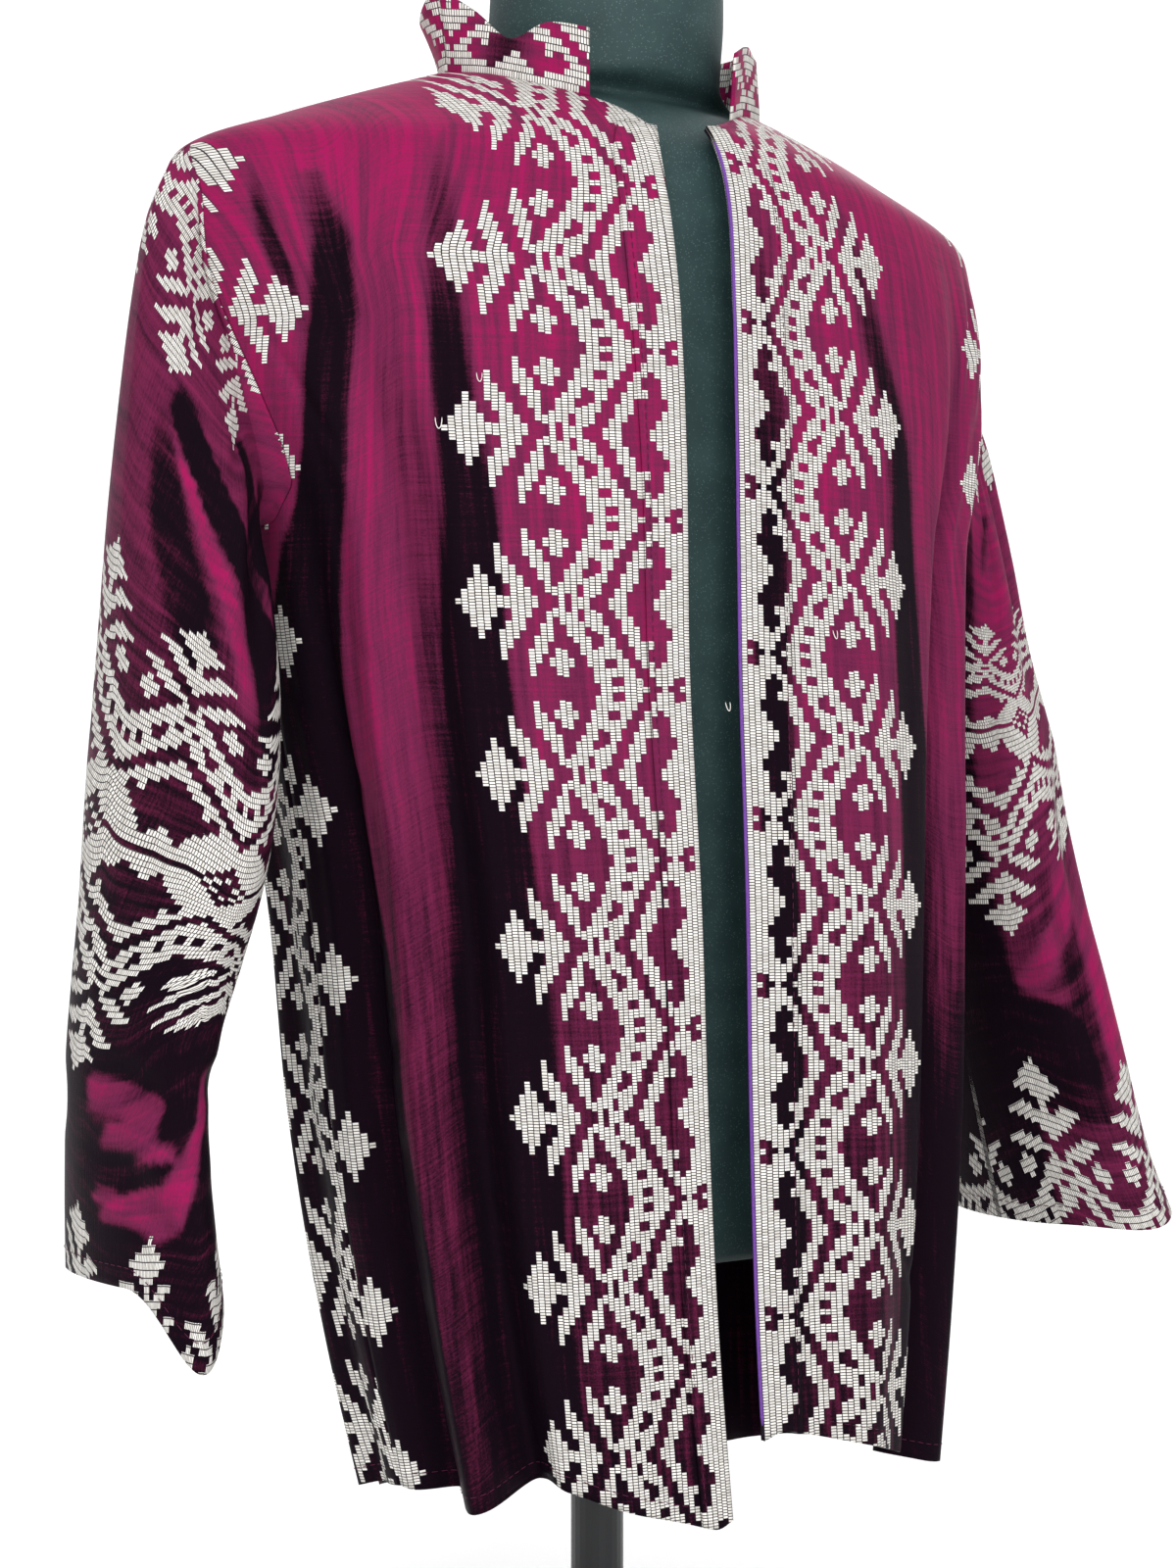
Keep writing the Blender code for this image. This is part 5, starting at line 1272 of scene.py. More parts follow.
def tubes(paths, radii):
    """Closed tubes: paths holds, for each tube, points along it, and radii the thickness at each.
    A ring of points stands square to the path at each point, and two quads close each end."""
    count, length = paths.shape[:2]
    run = unit(np.gradient(paths, axis=1))
    aside = unit(np.cross(run, ASKEW))
    above = np.cross(run, aside)
    angle = np.radians(np.arange(THREAD_SIDES) * 360.0 / THREAD_SIDES)
    spoke = aside[:, :, None] * np.cos(angle)[:, None] + above[:, :, None] * np.sin(angle)[:, None]
    points = paths[:, :, None] + spoke * radii[None, :, None, None]
    side = grid_faces(length, THREAD_SIDES, True)
    first, last = np.arange(THREAD_SIDES), (length - 1) * THREAD_SIDES + np.arange(THREAD_SIDES)
    ends = np.array([[first[3], first[2], first[1], first[0]], [first[5], first[4], first[3], first[0]],
                     [last[0], last[1], last[2], last[3]], [last[0], last[3], last[4], last[5]]])
    one = np.concatenate([side, ends])
    quads = (one[None] + np.arange(count)[:, None, None] * length * THREAD_SIDES).reshape(-1, 4)
    flat = points.reshape(-1, 3)
    if signed_volume(flat, quads) < 0:
        quads = quads[:, ::-1]
    return flat, quads


print("threads have", THREAD_SIDES, "sides")

# %% Stitches
STITCH_PITCH, STITCH_LENGTH, THREAD_RADIUS = 0.0046, 0.0030, 0.00020
# places along one stitch, as shares of its length, and its thickness at each
STITCH_ALONG = np.array([-0.50, -0.36, 0.0, 0.36, 0.50])
STITCH_THICK = np.array([0.45, 0.90, 1.00, 0.90, 0.45])
STITCH_LIFT = 0.00030


def stitches(line, normals):
    """Stitches laid along a line on the cloth, each a step apart, lifted along the cloth's normal."""
    run = run_length(line)
    middles = np.arange(0.5 * STITCH_PITCH, run[-1] - 0.5 * STITCH_PITCH, STITCH_PITCH)
    at = middles[:, None] + STITCH_LENGTH * STITCH_ALONG[None, :]
    lifted = line + STITCH_LIFT * normals
    paths = np.stack([np.interp(at, run, lifted[:, c]) for c in range(3)], axis=-1)
    return tubes(paths, THREAD_RADIUS * STITCH_THICK)


def closed_line(values):
    """A ring of values with its first one again at the end."""
    return np.concatenate([values, values[:1]])


def hem_stitches(panel, name):
    """A row of stitches two steps of the grid above the hem."""
    whole = panel == "cloth_back"
    part = slice(4, -4) if whole else slice(FINE_BAND_COLS + 2, -4)
    return mesh_from(name, *stitches(PANELS[panel]["outer"][2, part], PANELS[panel]["n"][2, part]))


def band_stitches(panel, band, name):
    """A row of stitches along the band's inner edge, on the band's own outer face."""
    part = slice(2, FINE_BAND_ROWS - 4)
    line = PANELS[band]["outer"][part, FINE_BAND_COLS - 2]
    return mesh_from(name, *stitches(line, PANELS[panel]["n"][part, FINE_BAND_COLS - 2]))


def cuff_stitches(sleeve, name):
    """A ring of stitches three steps above the cuff's edge."""
    line, n = PANELS[sleeve]["outer"][-4], PANELS[sleeve]["n"][-4]
    return mesh_from(name, *stitches(closed_line(line), closed_line(n)))


SIDES = ("right", "left")
hems = {side: hem_stitches("cloth_front_" + side, "stitches_hem_" + side) for side in SIDES}
hems["back"] = hem_stitches("cloth_back", "stitches_hem_back")
bands = {side: band_stitches("cloth_front_" + side, "edge_band_" + side, "stitches_band_" + side)
         for side in SIDES}
cuffs = {side: cuff_stitches("cloth_sleeve_" + side, "stitches_cuff_" + side) for side in SIDES}
stitched = [*hems.values(), *bands.values(), *cuffs.values()]
print("stitches", sum(len(piece.data.polygons) for piece in stitched), "faces")

# %% Piping
PIPING_RADIUS, PIPING_GAP, PIPING_END = 0.00085, 0.00012, 0.4


def edge_piping(band, name):
    """A round piping along the free edge of a band, a hair away from it."""
    grid = PANELS[band]["outer"][2:-2]
    away = unit(grid[:, 0] - grid[:, 1])
    path = grid[:, 0] + (PIPING_RADIUS + PIPING_GAP) * away
    radii = np.full(len(path), PIPING_RADIUS)
    radii[[0, -1]] *= PIPING_END
    return mesh_from(name, *tubes(path[None], radii))


piping = edge_piping("edge_band_left", "edge_piping_left")
print("piping", len(piping.data.polygons), "faces")

# %% Loose loops
# Where a figure ends, its weft thread turns back, and a few of these turns hang loose.
LOOSE_LOOPS = np.array([
    # side, height from the neck point (m), angle round the body, width (mm), drop (mm)
    (-1, -0.180, -42.8, 3.0, 5.0),
    (-1, -0.160, -35.5, 2.5, 4.0),
    (-1, -0.295, -16.0, 2.5, 5.0),
    (1, -0.305, -3.0, 2.5, 4.0),
    (1, -0.270, 13.8, 2.5, 4.0),
])
LOOP_POINTS, LOOP_RADIUS = 17, 0.00022
LOOP_LIFT, LOOP_BOW = 0.0010, 0.0012  # how far a loop stands off the cloth, and its middle more


def loose_loops(side, name):
    """Each loop is half a turn of an ellipse that hangs in front of the cloth from two near points."""
    rows = LOOSE_LOOPS[LOOSE_LOOPS[:, 0] == side]
    level = level_at(rows[:, 1])
    start = body(rows[:, 2], level)
    n = normal_of(body, rows[:, 2], level)
    along = unit(np.cross(n, np.array([0.0, 0.0, 1.0])))
    turn = np.linspace(0.0, np.pi, LOOP_POINTS)
    across = along[:, None] * (0.0005 * rows[:, 3])[:, None, None] * np.cos(turn)[None, :, None]
    fall = np.array([0.0, 0.0, -0.001]) * rows[:, 4][:, None, None] * np.sin(turn)[None, :, None]
    out = n[:, None] * (LOOP_LIFT + LOOP_BOW * np.sin(turn))[None, :, None]
    radii = np.full(LOOP_POINTS, LOOP_RADIUS)
    radii[[0, -1]] *= 0.5
    return mesh_from(name, *tubes(start[:, None] + across + fall + out, radii))


loops_right = loose_loops(-1, "loose_loops_right")
loops_left = loose_loops(1, "loose_loops_left")
print("loose loops", len(LOOSE_LOOPS))

# %% [markdown]
# ## The form
# The form under the cloth is a moulded shell with a smooth neck. Its surface is a stack of ovals
# from the flat underside to the neck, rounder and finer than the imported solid, and inside it.

# %% Build the form
FORM = np.array([
    # z,      half_w, front,  back,   side_y, centre_x
    (-0.0100, 0.0980, 0.0430, 0.0480, 0.000, 0.0),
    (-0.0215, 0.1350, 0.0660, 0.0740, 0.000, 0.0),
    (-0.0375, 0.1770, 0.0860, 0.0920, 0.000, 0.0),
    (-0.0570, 0.1980, 0.0940, 0.0980, -0.001, 0.0),
    (-0.0850, 0.2010, 0.0960, 0.0980, -0.003, 0.0),
    (-0.1200, 0.1940, 0.0950, 0.0990, -0.005, 0.0),
    (-0.1600, 0.1800, 0.0935, 0.1000, -0.008, 0.0),
    (-0.2100, 0.1700, 0.0920, 0.1000, -0.011, 0.0),
    (-0.2700, 0.1640, 0.0880, 0.0980, -0.014, 0.002),
    (-0.3300, 0.1580, 0.0840, 0.0940, -0.017, 0.003),
    (-0.3900, 0.1530, 0.0800, 0.0900, -0.019, 0.005),
    (-0.4500, 0.1490, 0.0780, 0.0880, -0.020, 0.008),
    (-0.5100, 0.1440, 0.0760, 0.0870, -0.022, 0.011),
    (-0.5500, 0.1390, 0.0740, 0.0850, -0.023, 0.013),
    (-0.5650, 0.1330, 0.0700, 0.0800, -0.023, 0.014),
    (-0.5700, 0.1210, 0.0610, 0.0710, -0.023, 0.014),
])
NECK = np.array([
    # z,    half_w, half_y, middle_y
    (-0.002, 0.0660, 0.0540, -0.004),
    (0.010, 0.0600, 0.0560, -0.006),
    (0.030, 0.0580, 0.0580, -0.008),
    (0.060, 0.0570, 0.0570, -0.009),
    (0.085, 0.0560, 0.0560, -0.010),
])
FORM_ROUND_FINE, FORM_PARTS = 144, 4
FORM_POWER = 2.08
CAP_SHARES = (0.90, 0.75, 0.5, 0.2)  # sizes of the rings that close an end
NECK_FOOT, NECK_BACK_LIFT = 0.05, 0.010  # height over which the neck joins the shoulders, lift behind


def form_rings():
    """Rings of the form from its underside to the top of its neck, each an oval."""
    angle = np.arange(FORM_ROUND_FINE) * 360.0 / FORM_ROUND_FINE
    s, c = np.sin(np.radians(angle)), np.cos(np.radians(angle))
    rings = []
    for z, half_w, front, behind, side_y, cx in FORM[::-1]:
        x, y = oval(angle, half_w, np.where(c >= 0, front, behind), side_y, cx, FORM_POWER)
        x, drop = lean(x, z)
        rings.append(np.stack([x, y, NECK_POINT_Z + z + back_lift(angle, z) - drop], axis=-1))
    for z, half_w, half_y, middle_y in NECK:
        foot = max(0.0, 1 - z / NECK_FOOT) ** 2
        x, drop = lean(half_w * s, 0.0)
        x = half_w * s + foot * (x - half_w * s)
        lift = foot * (NECK_BACK_LIFT * np.clip(-c, 0, 1) ** 2 - drop)
        rings.append(np.stack([x, middle_y - half_y * c, NECK_POINT_Z + z + lift], axis=-1))
    rings = np.stack(rings)
    flat = rings.reshape(len(rings), -1)
    fine_rings = refine(flat, (0, 2, len(rings) - 1), (2, FORM_PARTS))
    return fine_rings.reshape(len(fine_rings), FORM_ROUND_FINE, 3)


def closed_rings(name, rings):
    """Rings with both ends closed: smaller copies of the end rings, down to a small hole, then one
    face across it."""
    def cap(ring):
        middle = ring.mean(axis=0)
        return [middle + (ring - middle) * share for share in CAP_SHARES]
    stack = np.stack(cap(rings[0])[::-1] + list(rings) + cap(rings[-1]))
    rows, cols = stack.shape[:2]
    quads = grid_faces(rows, cols, True)
    points = stack.reshape(-1, 3)
    first, last = np.arange(cols), (rows - 1) * cols + np.arange(cols)
    k = np.arange(cols // 2 - 1)
    ends = []
    for loop in (first[::-1], last):
        ends.append(np.stack([loop[k], loop[k + 1], loop[cols - 2 - k], loop[cols - 1 - k]], -1))
    quads = np.concatenate([quads] + ends)
    if signed_volume(points, quads) < 0:
        quads = quads[:, ::-1]
    return mesh_from(name, points, quads)


form_shell = closed_rings("form_shell", form_rings())
print("form shell", len(form_shell.data.polygons), "faces")

# %% [markdown]
# ## The figures, counted by hand
# The figures are drawn with pale weft threads that float over one group of warp threads at a time.
# A weaver counts them from a chart. Each row of this chart is one column of floats, counted out from
# the centre of a figured band, and each pair gives a run of weft rows from the outer apex of the
# figure (0) to its inner apex (21). The figure is the same left and right of the band's centre, and
# above and below each apex, so a quarter of it is enough.

# %% Chart of the figures
CHART = {
    0: ((0, 21),),
    1: ((0, 18), (20, 21)),
    2: ((0, 18),),
    3: ((0, 6), (9, 20)),
    4: ((0, 4), (14, 21)),
    5: ((0, 1.5), (16, 20)),
    6: ((9, 11.5), (14, 18)),
    7: ((9, 16), (20, 21)),
    8: ((5.5, 13.5), (18, 21)),
    9: ((2.7, 10.5), (16, 21)),
    10: ((0, 7.5), (13.5, 21)),
    11: ((0, 4), (11, 18), (20, 21)),
    12: ((0, 1.2), (8.5, 13.5), (16, 18), (20, 21)),
    13: ((5.5, 13.5), (16, 21)),
    14: ((2.2, 7.2), (10.6, 21)),
    15: ((1.4, 7), (11, 19.8)),
    16: ((0, 6), (8, 15.8)),
    17: ((0, 1.7), (4.5, 13)),
    18: ((0, 10),),
    19: ((2, 8), (13.4, 15.6)),
    20: ((0, 5.5), (11, 18)),
    21: ((1.4, 3.5), (11, 18)),
    22: ((2.5, 10), (13.4, 15.6)),
    23: ((5, 12.5),),
    24: ((0, 1.2), (8, 15)),
    25: ((0, 4), (11, 18)),
    26: ((0, 6.7),),
    27: ((0, 9.2),),
    28: ((0, 1.2), (4.5, 11.6)),
    29: ((0, 1.2), (7, 14.3)),
    30: ((0, 3.8),),
    31: ((0, 6.8),),
    32: ((0, 8.7),),
    33: ((0, 6),),
    34: ((0, 3),),
    35: ((0, 1.1),),
}
# The fronts are cut through their band, and a strip covers the cut, so the columns above start at
# the front edge. A band on a sleeve is whole: nine columns of its own lie in its middle, and from
# the tenth on it follows the columns above from the seventh.
CHART_WHOLE = {
    0: ((15, 16.9),),
    1: ((0, 15.2), (17.6, 19.5)),
    2: ((0, 17), (20, 21)),
    3: ((0, 4), (6, 18.7)),
    4: ((0, 1.2), (7, 20.4)),
    5: ((8.4, 21),),
    6: ((10.3, 21),),
    7: ((12.3, 21),),
    8: ((14.5, 20.2),),
}
CHART_WHOLE.update({k + 3: runs for k, runs in CHART.items() if k > 5})
APEX = 21.0                          # the runs above go from 0 to this
HALF_ROWS = 28                       # weft rows from one apex to the next
WORD = 14                            # rows kept in one number: half of them
HALF_BIT = 2.0 ** -16                # less than the smallest share, added against rounding
RAMP_STOPS = 20
NO_FLOATS = ((0, 0),)
RAMP_SPAN = 32


def rows_on(runs):
    """Which of the weft rows a column's runs cover."""
    rows = (np.arange(HALF_ROWS) + 0.5) * APEX / HALF_ROWS
    return np.any([(rows > low) & (rows < high) for low, high in runs], axis=0)


def column_numbers(runs):
    """A column's rows as two shares of one: row j of each half adds 2 to the power j - 14."""
    on = rows_on(runs).reshape(2, WORD)
    return (on * 2.0 ** (np.arange(WORD) - WORD)).sum(axis=1).tolist()


covered = np.mean([rows_on(CHART[k]) for k in CHART])
print("floats cover", round(float(covered), 2), "of a figured band")

# %% [markdown]
# ## Figured silk
# The ground is changeable silk: a magenta warp crossed by a near-black weft. Its colour runs from
# magenta to near black by the painted shade stored on the cloth, with brushed edges between the two:
# painted shade in the folds and where the cloth turns from the light, and a painted highlight at its
# brightest. The shader reads the thread counts, finds the column and row, takes that column's numbers
# from a ramp and asks whether the row's bit is set. That is the chart, looked up once for each point.
# Where the bit is set, the point lies on a pale float: a soft flat bundle of untwisted cotton, with
# a thin dark line to the next row and the next column: the ground between floats, painted in shade.

# %% Material of the figured silk
# lit silk, its painted highlight and its painted shade are copies of one magenta; mauve is a random tone
SILK_LIT = "#7C2449"
SILK_PAINTED_HIGHLIGHT = "#9A1A54"
SILK_MAUVE = "#5F2446"
SILK_PAINTED_SHADE = "#140C14"
FLOAT_PALE = "#F7F4EE"
FLOAT_GREY = "#D6D2CB"
FLOAT_GAP_SHADE = "#241D26"
SILK_GLOSS = "#B05080"
BEAT_SEED, BEAT_SLIP = 17.0, 0.6      # how far, in rows, one column's floats slip against the next
# where a float's sides and ends begin and are full, as shares of its column and row
FLOAT_SIDES, FLOAT_ENDS = (0.03, 0.11), (0.06, 0.20)
GROUND = {
    # slubs along the weft, a fine mottle, and streaks along the warp that brush the edges of the painted
    # shade; each swings the painted shade: features per mm across and up, detail, roughness, swing
    "slub": (0.025, 0.7, 3.0, 0.65, 0.55),
    "mottle": (0.9, 1.2, 2.0, 0.60, 0.55),
    "streak": (0.22, 0.012, 4.0, 0.60, 1.10),
}
# painted light: from painted shade to lit silk, and on to a painted highlight
PAINTED_LIT_SPAN, PAINTED_HIGHLIGHT_SPAN = (0.05, 0.85), (0.80, 1.15)  # from dark to lit silk, and on to its brightest
MOTTLE_LIFT, SLUB_LIFT = 0.35, 0.5   # height of both noises against a float's


def figured_silk(name, phase, half_band, chart, whole=False):
    """Shot silk with a chart's figures: half_band in metres across, phase in metres up. On a whole
    band the first column lies half on each side of the middle."""
    mat, tree = material(name)
    counts = add(tree, "SeparateXYZ", (add(tree, "UVMap", uv_map="threads"),))
    x = add(tree, "Math", (counts.outputs[0], UV_COLUMNS, -UV_CENTRE[0]), operation="MULTIPLY_ADD")
    foot = -UV_CENTRE[1] - phase / ROW
    y = add(tree, "Math", (counts.outputs[1], UV_ROWS, foot), operation="MULTIPLY_ADD")

    # which column and row, folded back at the middle of the band, the gap and each apex
    shift = 0.5 if whole else 0.0
    folded = add(tree, "Math", (x, half_band / COLUMN), operation="PINGPONG")
    i = add(tree, "Math", (add(tree, "Math", (folded, shift), operation="ADD"),), operation="FLOOR")
    from_line = add(tree, "Math", (x, shift), operation="ADD")
    column_line = add(tree, "Math", (from_line,), operation="FLOOR")
    seed = add(tree, "Math", (column_line, BEAT_SEED), operation="ADD")
    beat = add(tree, "TexWhiteNoise", {"W": seed}, noise_dimensions="1D")
    slip = add(tree, "Math", (beat, BEAT_SLIP, -BEAT_SLIP / 2), operation="MULTIPLY_ADD")
    beaten = add(tree, "Math", (y, slip), operation="ADD")
    row_folded = add(tree, "Math", (beaten, float(HALF_ROWS)), operation="PINGPONG")
    j = add(tree, "Math", (row_folded,), operation="FLOOR")

    # the chart: a ramp of constant steps holds four numbers for each step
    step = add(tree, "Math", (i, float(RAMP_STOPS)), operation="MODULO")
    place = add(tree, "Math", (step, 1.0 / RAMP_SPAN, 0.5 / RAMP_SPAN), operation="MULTIPLY_ADD")
    ramp = add(tree, "ValToRGB", (place,))
    stops = ramp.color_ramp.elements
    ramp.color_ramp.interpolation = "CONSTANT"
    for k in range(RAMP_STOPS):
        stop = stops[k] if k < 2 else stops.new(k / RAMP_SPAN)
        stop.position = k / RAMP_SPAN
        far_runs = chart.get(k + RAMP_STOPS, NO_FLOATS)
        stop.color = column_numbers(chart[k]) + column_numbers(far_runs)
    codes = add(tree, "SeparateColor", (ramp.outputs["Color"],))
    far = add(tree, "Math", (i, RAMP_STOPS - 0.5), operation="GREATER_THAN")
    low = add(tree, "Mix", {0: far, 2: codes.outputs[0], 3: codes.outputs[2]}, data_type="FLOAT")
    high = add(tree, "Mix", {0: far, 2: codes.outputs[1], 3: ramp.outputs["Alpha"]}, data_type="FLOAT")
    second = add(tree, "Math", (j, WORD - 0.5), operation="GREATER_THAN")
    code = add(tree, "Mix", {0: second, 2: low.outputs[0], 3: high.outputs[0]}, data_type="FLOAT")

    # the row's bit: the number times a power of two, odd where the bit is set
    row = add(tree, "Math", (j, float(WORD)), operation="MODULO")
    power = add(tree, "Math", (float(WORD), row), operation="SUBTRACT")
    bit_place = add(tree, "Math", (2.0, power), operation="POWER")
    safe = add(tree, "Math", (code.outputs[0], HALF_BIT), operation="ADD")
    moved = add(tree, "Math", (safe, bit_place), operation="MULTIPLY")
    cut_off = add(tree, "Math", (moved,), operation="FLOOR")
    rest = add(tree, "Math", (cut_off, 2.0), operation="MODULO")
    odd = add(tree, "Math", (rest, 0.5), operation="GREATER_THAN")
    on_chart = add(tree, "Math", (i, 2.0 * RAMP_STOPS - 0.5), operation="LESS_THAN")
    bit = add(tree, "Math", (odd, on_chart), operation="MULTIPLY")

    # the soft block of one float inside its cell: 0 at the cell's edges, 1 inside
    block = bit
    for distance, (edge, inside) in ((from_line, FLOAT_SIDES), (beaten, FLOAT_ENDS)):
        from_edge = add(tree, "Math", (distance, 0.5), operation="PINGPONG")
        within = add(tree, "MapRange", (from_edge, edge, inside), interpolation_type="SMOOTHSTEP")
        block = add(tree, "Math", (block, within), operation="MULTIPLY")

    # the ground: 1 less the painted shade, swung by each noise between lit silk and painted shade
    across_mm = add(tree, "Math", (x, COLUMN * 1000.0), operation="MULTIPLY")
    up_mm = add(tree, "Math", (y, ROW * 1000.0), operation="MULTIPLY")
    shade = add(tree, "Attribute", attribute_name="shade")
    turn = add(tree, "Math", (1.0, shade.outputs["Fac"]), operation="SUBTRACT")
    noise = {}
    for kind, (per_mm_across, per_mm_up, detail, roughness, swing) in GROUND.items():
        at = add(tree, "CombineXYZ", (add(tree, "Math", (across_mm, per_mm_across), operation="MULTIPLY"),
                                      add(tree, "Math", (up_mm, per_mm_up), operation="MULTIPLY")))
        noise[kind] = add(tree, "TexNoise", {"Vector": at, "Scale": 1.0, "Detail": detail,
                                             "Roughness": roughness})
        swung = add(tree, "Math", (noise[kind], swing, -swing / 2), operation="MULTIPLY_ADD")
        turn = add(tree, "Math", (turn, swung), operation="ADD")
    # the colour by painted light: near black in painted shade, magenta where lit, a painted highlight at
    # the brightest
    lit = add(tree, "MapRange", (turn, *PAINTED_LIT_SPAN), interpolation_type="SMOOTHSTEP")
    highlight_share = add(tree, "MapRange", (turn, *PAINTED_HIGHLIGHT_SPAN))
    warm = add(tree, "Mix", {0: noise["streak"], 6: linear(SILK_MAUVE), 7: linear(SILK_LIT)},
               data_type="RGBA")
    magenta = add(tree, "Mix", {0: highlight_share, 6: warm.outputs[2], 7: linear(SILK_PAINTED_HIGHLIGHT)}, data_type="RGBA")
    ground = add(tree, "Mix", {0: lit, 6: linear(SILK_PAINTED_SHADE), 7: magenta.outputs[2]}, data_type="RGBA")

    # the floats differ a little from one to the next
    cell = add(tree, "CombineXYZ", (column_line, add(tree, "Math", (beaten,), operation="FLOOR")))
    each = add(tree, "TexWhiteNoise", {"Vector": cell}, noise_dimensions="2D")
    cotton = add(tree, "Mix", {0: each.outputs["Value"], 6: linear(FLOAT_GREY), 7: linear(FLOAT_PALE)},
                 data_type="RGBA")
    # the ground between floats, painted dark as the shade between the raised floats
    gap = add(tree, "Mix", {0: bit, 6: ground.outputs[2], 7: linear(FLOAT_GAP_SHADE)}, data_type="RGBA")
    colour = add(tree, "Mix", {0: block, 6: gap.outputs[2], 7: cotton.outputs[2]}, data_type="RGBA")

    # floats stand a third of a millimetre proud; the ground shows its slubs
    fine_lift = add(tree, "Math", (noise["mottle"], MOTTLE_LIFT, block), operation="MULTIPLY_ADD")
    height = add(tree, "Math", (noise["slub"], SLUB_LIFT, fine_lift), operation="MULTIPLY_ADD")
    relief = add(tree, "Bump", {"Height": height, "Strength": 0.7, "Distance": 0.0004})
    rough = add(tree, "MapRange", {0: block, 3: 0.44, 4: 0.75})
    shader = add(tree, "BsdfPrincipled",
                 {"Base Color": colour.outputs[2], "Roughness": rough, "Normal": relief,
                  "Specular IOR Level": 0.02, "Specular Tint": linear(SILK_GLOSS)})
    add(tree, "OutputMaterial", (shader,))
    return mat


PHASE_RIGHT, PHASE_LEFT, PHASE_BACK = -0.337, -0.319, -0.337
silk = {
    "front_right": figured_silk("figured_silk_front_right", PHASE_RIGHT, HALF_FRONT, CHART),
    "front_left": figured_silk("figured_silk_front_left", PHASE_LEFT, HALF_FRONT, CHART),
    "back": figured_silk("figured_silk_back", PHASE_BACK, HALF_FRONT, CHART_WHOLE, True),
    "sleeve_right": figured_silk("figured_silk_sleeve_right", 0.0, HALF_SLEEVE, CHART_WHOLE, True),
    "sleeve_left": figured_silk("figured_silk_sleeve_left", 0.0, HALF_SLEEVE, CHART_WHOLE, True),
    "collar": figured_silk("figured_silk_collar", HALF_REPEAT, HALF_FRONT, CHART),
}
print("silk for", ", ".join(silk))

# %% [markdown]
# ## Form, cap and stand
# The form is a moulded shell, matt and dark green-grey, with the fine speckle of its textured
# mould. The cap is plain matt plastic. The stand is steel tube and plate in satin dark paint.

# %% Materials of the form and stand
FORM_DARK, FORM_LIGHT, FORM_SPECK = "#1E3034", "#38504F", "#627876"


def moulded_shell(name):
    """Matt moulded plastic with a speckle from its mould, about a millimetre from speck to speck."""
    mat, tree = material(name)
    at = add(tree, "TexCoord").outputs["Object"]
    cloud = add(tree, "TexNoise", {"Vector": at, "Scale": 60.0, "Detail": 4.0})
    speck = add(tree, "TexVoronoi", {"Vector": at, "Scale": 700.0})
    dots = add(tree, "MapRange", (speck, 0.16, 0.26, 0.6, 0.0))
    ground = add(tree, "Mix", {0: cloud, 6: linear(FORM_DARK), 7: linear(FORM_LIGHT)}, data_type="RGBA")
    colour = add(tree, "Mix", {0: dots, 6: ground.outputs[2], 7: linear(FORM_SPECK)}, data_type="RGBA")
    rough = add(tree, "MapRange", {0: cloud, 3: 0.5, 4: 0.72})
    raised = add(tree, "Bump", {"Height": speck, "Strength": 0.25, "Distance": 0.0003})
    shader = add(tree, "BsdfPrincipled",
                 {"Base Color": colour.outputs[2], "Roughness": rough, "Normal": raised,
                  "IOR": 1.49, "Specular IOR Level": 0.3})
    add(tree, "OutputMaterial", (shader,))
    return mat


def satin_paint(name, dark, light, roughness, scale):
    """Stoved satin paint over steel: a soft orange-peel bump and small changes of gloss."""
    mat, tree = material(name)
    at = add(tree, "TexCoord").outputs["Object"]
    peel = add(tree, "TexNoise", {"Vector": at, "Scale": scale, "Detail": 3.0})
    colour = add(tree, "Mix", {0: peel, 6: linear(dark), 7: linear(light)}, data_type="RGBA")
    rough = add(tree, "MapRange", {0: peel, 3: roughness - 0.08, 4: roughness + 0.1})
    raised = add(tree, "Bump", {"Height": peel, "Strength": 0.15, "Distance": 0.0002})
    shader = add(tree, "BsdfPrincipled",
                 {"Base Color": colour.outputs[2], "Roughness": rough, "Normal": raised})
    add(tree, "OutputMaterial", (shader,))
    return mat


shell_finish = moulded_shell("moulded_speckled_plastic")
cap_finish = satin_paint("moulded_matt_plastic", "#0D1113", "#171C1F", 0.6, 400.0)
stand_finish = satin_paint("painted_steel", "#101214", "#1B1E21", 0.38, 900.0)


print("form", shell_finish.name, "cap", cap_finish.name, "stand", stand_finish.name)

# %% [markdown]
# ## Thread, and dressing the pieces
# Sewing thread and piping are spun from two shades and lie in short rows, so they give the eye small
# matt dashes and a thin line of colour at the edge. Loose weft is the same pale cotton as the floats.
# Then each piece gets its finish and the body that it rides on, and the imported solid that it stands
# for is hidden.

# %% Thread materials
def spun_thread(name, dark, light):
    """Twisted thread: two shades a third of a millimetre apart, matt with a little sheen."""
    mat, tree = material(name)
    at = add(tree, "TexCoord").outputs["Object"]
    fuzz = add(tree, "TexNoise", {"Vector": at, "Scale": 1500.0, "Detail": 2.0})
    colour = add(tree, "Mix", {0: fuzz, 6: linear(dark), 7: linear(light)}, data_type="RGBA")
    rough = add(tree, "MapRange", {0: fuzz, 3: 0.6, 4: 0.85})
    shader = add(tree, "BsdfPrincipled",
                 {"Base Color": colour.outputs[2], "Roughness": rough, "Specular IOR Level": 0.2})
    add(tree, "OutputMaterial", (shader,))
    return mat


sewing_thread = spun_thread("twisted_sewing_thread", "#3A1128", "#651E45")
piping_finish = spun_thread("wrapped_purple_piping", "#4A2A74", "#8A55B8")
weft_cotton = spun_thread("untwisted_pale_cotton", FLOAT_GREY, FLOAT_PALE)
print("threads", sewing_thread.name, piping_finish.name, weft_cotton.name)


# %% Dress the pieces
def dress(obj, mat):
    """Give a mesh one material."""
    obj.data.materials.clear()
    obj.data.materials.append(mat)


FITTED = [(piece, sewing_thread) for piece in stitched]
FITTED += [(piping, piping_finish), (loops_right, weft_cotton), (loops_left, weft_cotton)]
for piece, finish in FITTED:
    dress(piece, finish)
    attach(piece, "root")

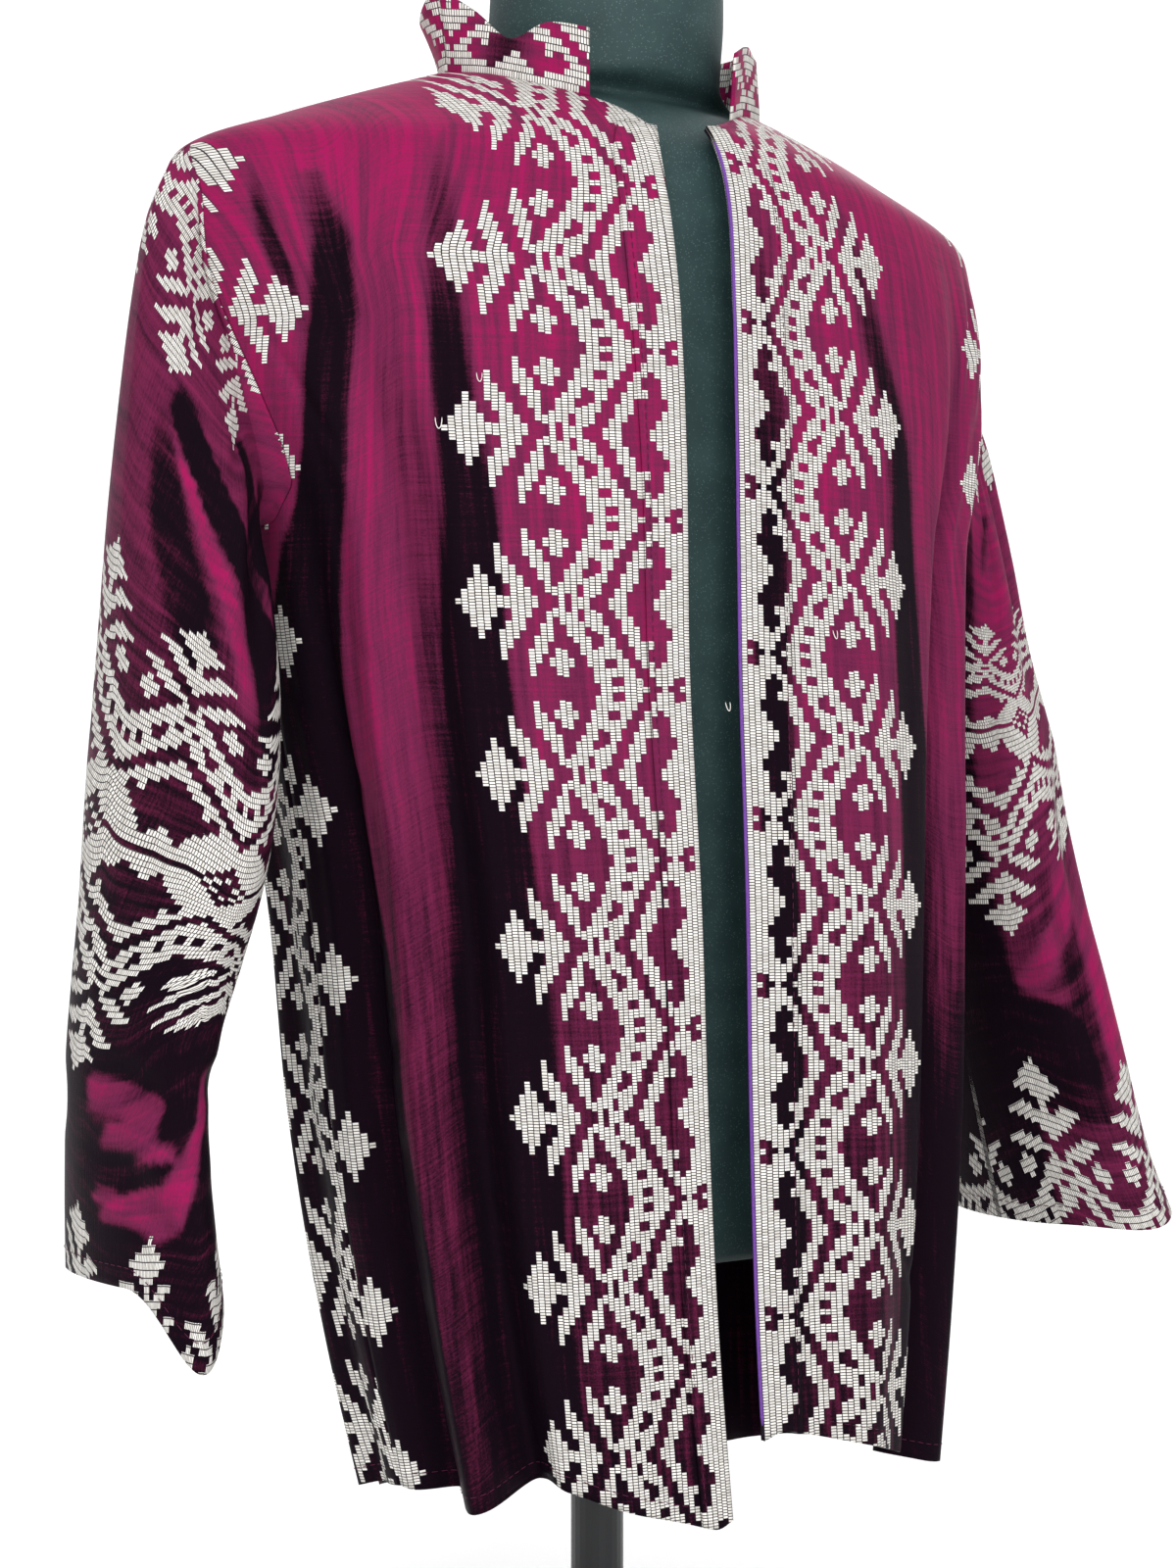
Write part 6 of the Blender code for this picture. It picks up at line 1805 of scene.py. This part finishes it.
DRESSED = {
    "front_right": (cloth_front_right, "front_right", "cloth"),
    "front_left": (cloth_front_left, "front_left", "cloth"),
    "back": (cloth_back, "back", "cloth"),
    "sleeve_right": (cloth_sleeve_right, "sleeve_right", "cloth"),
    "sleeve_left": (cloth_sleeve_left, "sleeve_left", "cloth"),
    "collar": (cloth_collar, "collar", "cloth"),
    "band_right": (edge_band_right, "front_right", "band"),
    "band_left": (edge_band_left, "front_left", "band"),
}
for node, (piece, finish, slot) in DRESSED.items():
    dress(piece, silk[finish])
    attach(piece, "root")
    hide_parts(node)
dress(form_shell, shell_finish)
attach(form_shell, "root")
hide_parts("form_torso")
PLAIN = {"form_neck_cap": cap_finish, "stand_pole": stand_finish, "stand_base": stand_finish}
for node, finish in PLAIN.items():
    for slot in bpy.data.objects[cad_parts[node].name].material_slots:
        slot.material = finish
print("dressed", len(FITTED) + len(DRESSED) + 1, "pieces and", len(PLAIN), "solids")

# %% [markdown]


# %% [markdown]
# ## Floor and light
# A pale sweep and three soft lamps, as in a small studio. The key stands high to the camera's left,
# so the long folds throw soft shade toward the wearer's left.

# %% Floor and light
ROOM, WALL_AT, BEND = 4.0, 2.4, 0.8   # half the floor's width, where its wall stands, the bend's radius
LAMPS = {
    # place, target, power in watts, size
    "key": ((-1.7, -1.5, 1.9), (0.0, 0.0, 0.5), 20.0, 0.9),
    "front": ((-0.6, -2.4, 0.9), (0.0, 0.0, 0.4), 16.0, 1.2),
    "rim": ((1.5, 1.2, 1.8), (0.0, 0.0, 0.6), 6.0, 1.0),
    "paper": ((0.4, 0.6, 2.4), (1.2, 1.8, 0.3), 14.0, 1.6),
}


def sweep():
    """Floor that curves up into a wall: a profile of height over depth, pushed sideways."""
    depth = np.concatenate([[-ROOM], np.linspace(WALL_AT - BEND, WALL_AT, 25), [WALL_AT]])
    bend = np.clip((depth - WALL_AT + BEND) / BEND, 0, 1)
    height = BEND * (1.0 - np.sqrt(np.maximum(1.0 - bend**2, 0.0)))
    height[-1] = ROOM
    across = np.array([-ROOM, ROOM])
    spot = SIGHT[None, None, :2] * depth[:, None, None]
    beside = np.array([SIGHT[1], -SIGHT[0]])[None, None, :] * across[None, :, None]
    flat = spot + beside
    points = np.concatenate([flat, np.repeat(height[:, None, None], 2, axis=1)], axis=-1).reshape(-1, 3)
    return mesh_from("floor", points, grid_faces(len(depth), 2, False))


floor = sweep()
floor_mat, floor_tree = material("pale_studio_paper")
paper = add(floor_tree, "BsdfPrincipled", {"Base Color": linear("#FFFFFF"), "Roughness": 0.9})
add(floor_tree, "OutputMaterial", (paper,))
dress(floor, floor_mat)


def soft_lamp(name, place, target, power, size):
    """A round area lamp at place that looks at target."""
    data = bpy.data.lights.new(name, "AREA")
    data.shape, data.size, data.energy = "DISK", size, power
    lamp = bpy.data.objects.new(name, data)
    bpy.context.scene.collection.objects.link(lamp)
    look_along(lamp, np.array(place), np.array(target) - np.array(place))


for name, row in LAMPS.items():
    soft_lamp(name, *row)
world = bpy.data.worlds.new("studio")
bpy.context.scene.world = world
world.use_nodes = True
world.node_tree.nodes["Background"].inputs["Color"].default_value = linear("#FAFAFB")
world.node_tree.nodes["Background"].inputs["Strength"].default_value = 0.80
bpy.context.scene.view_settings.view_transform = "Standard"
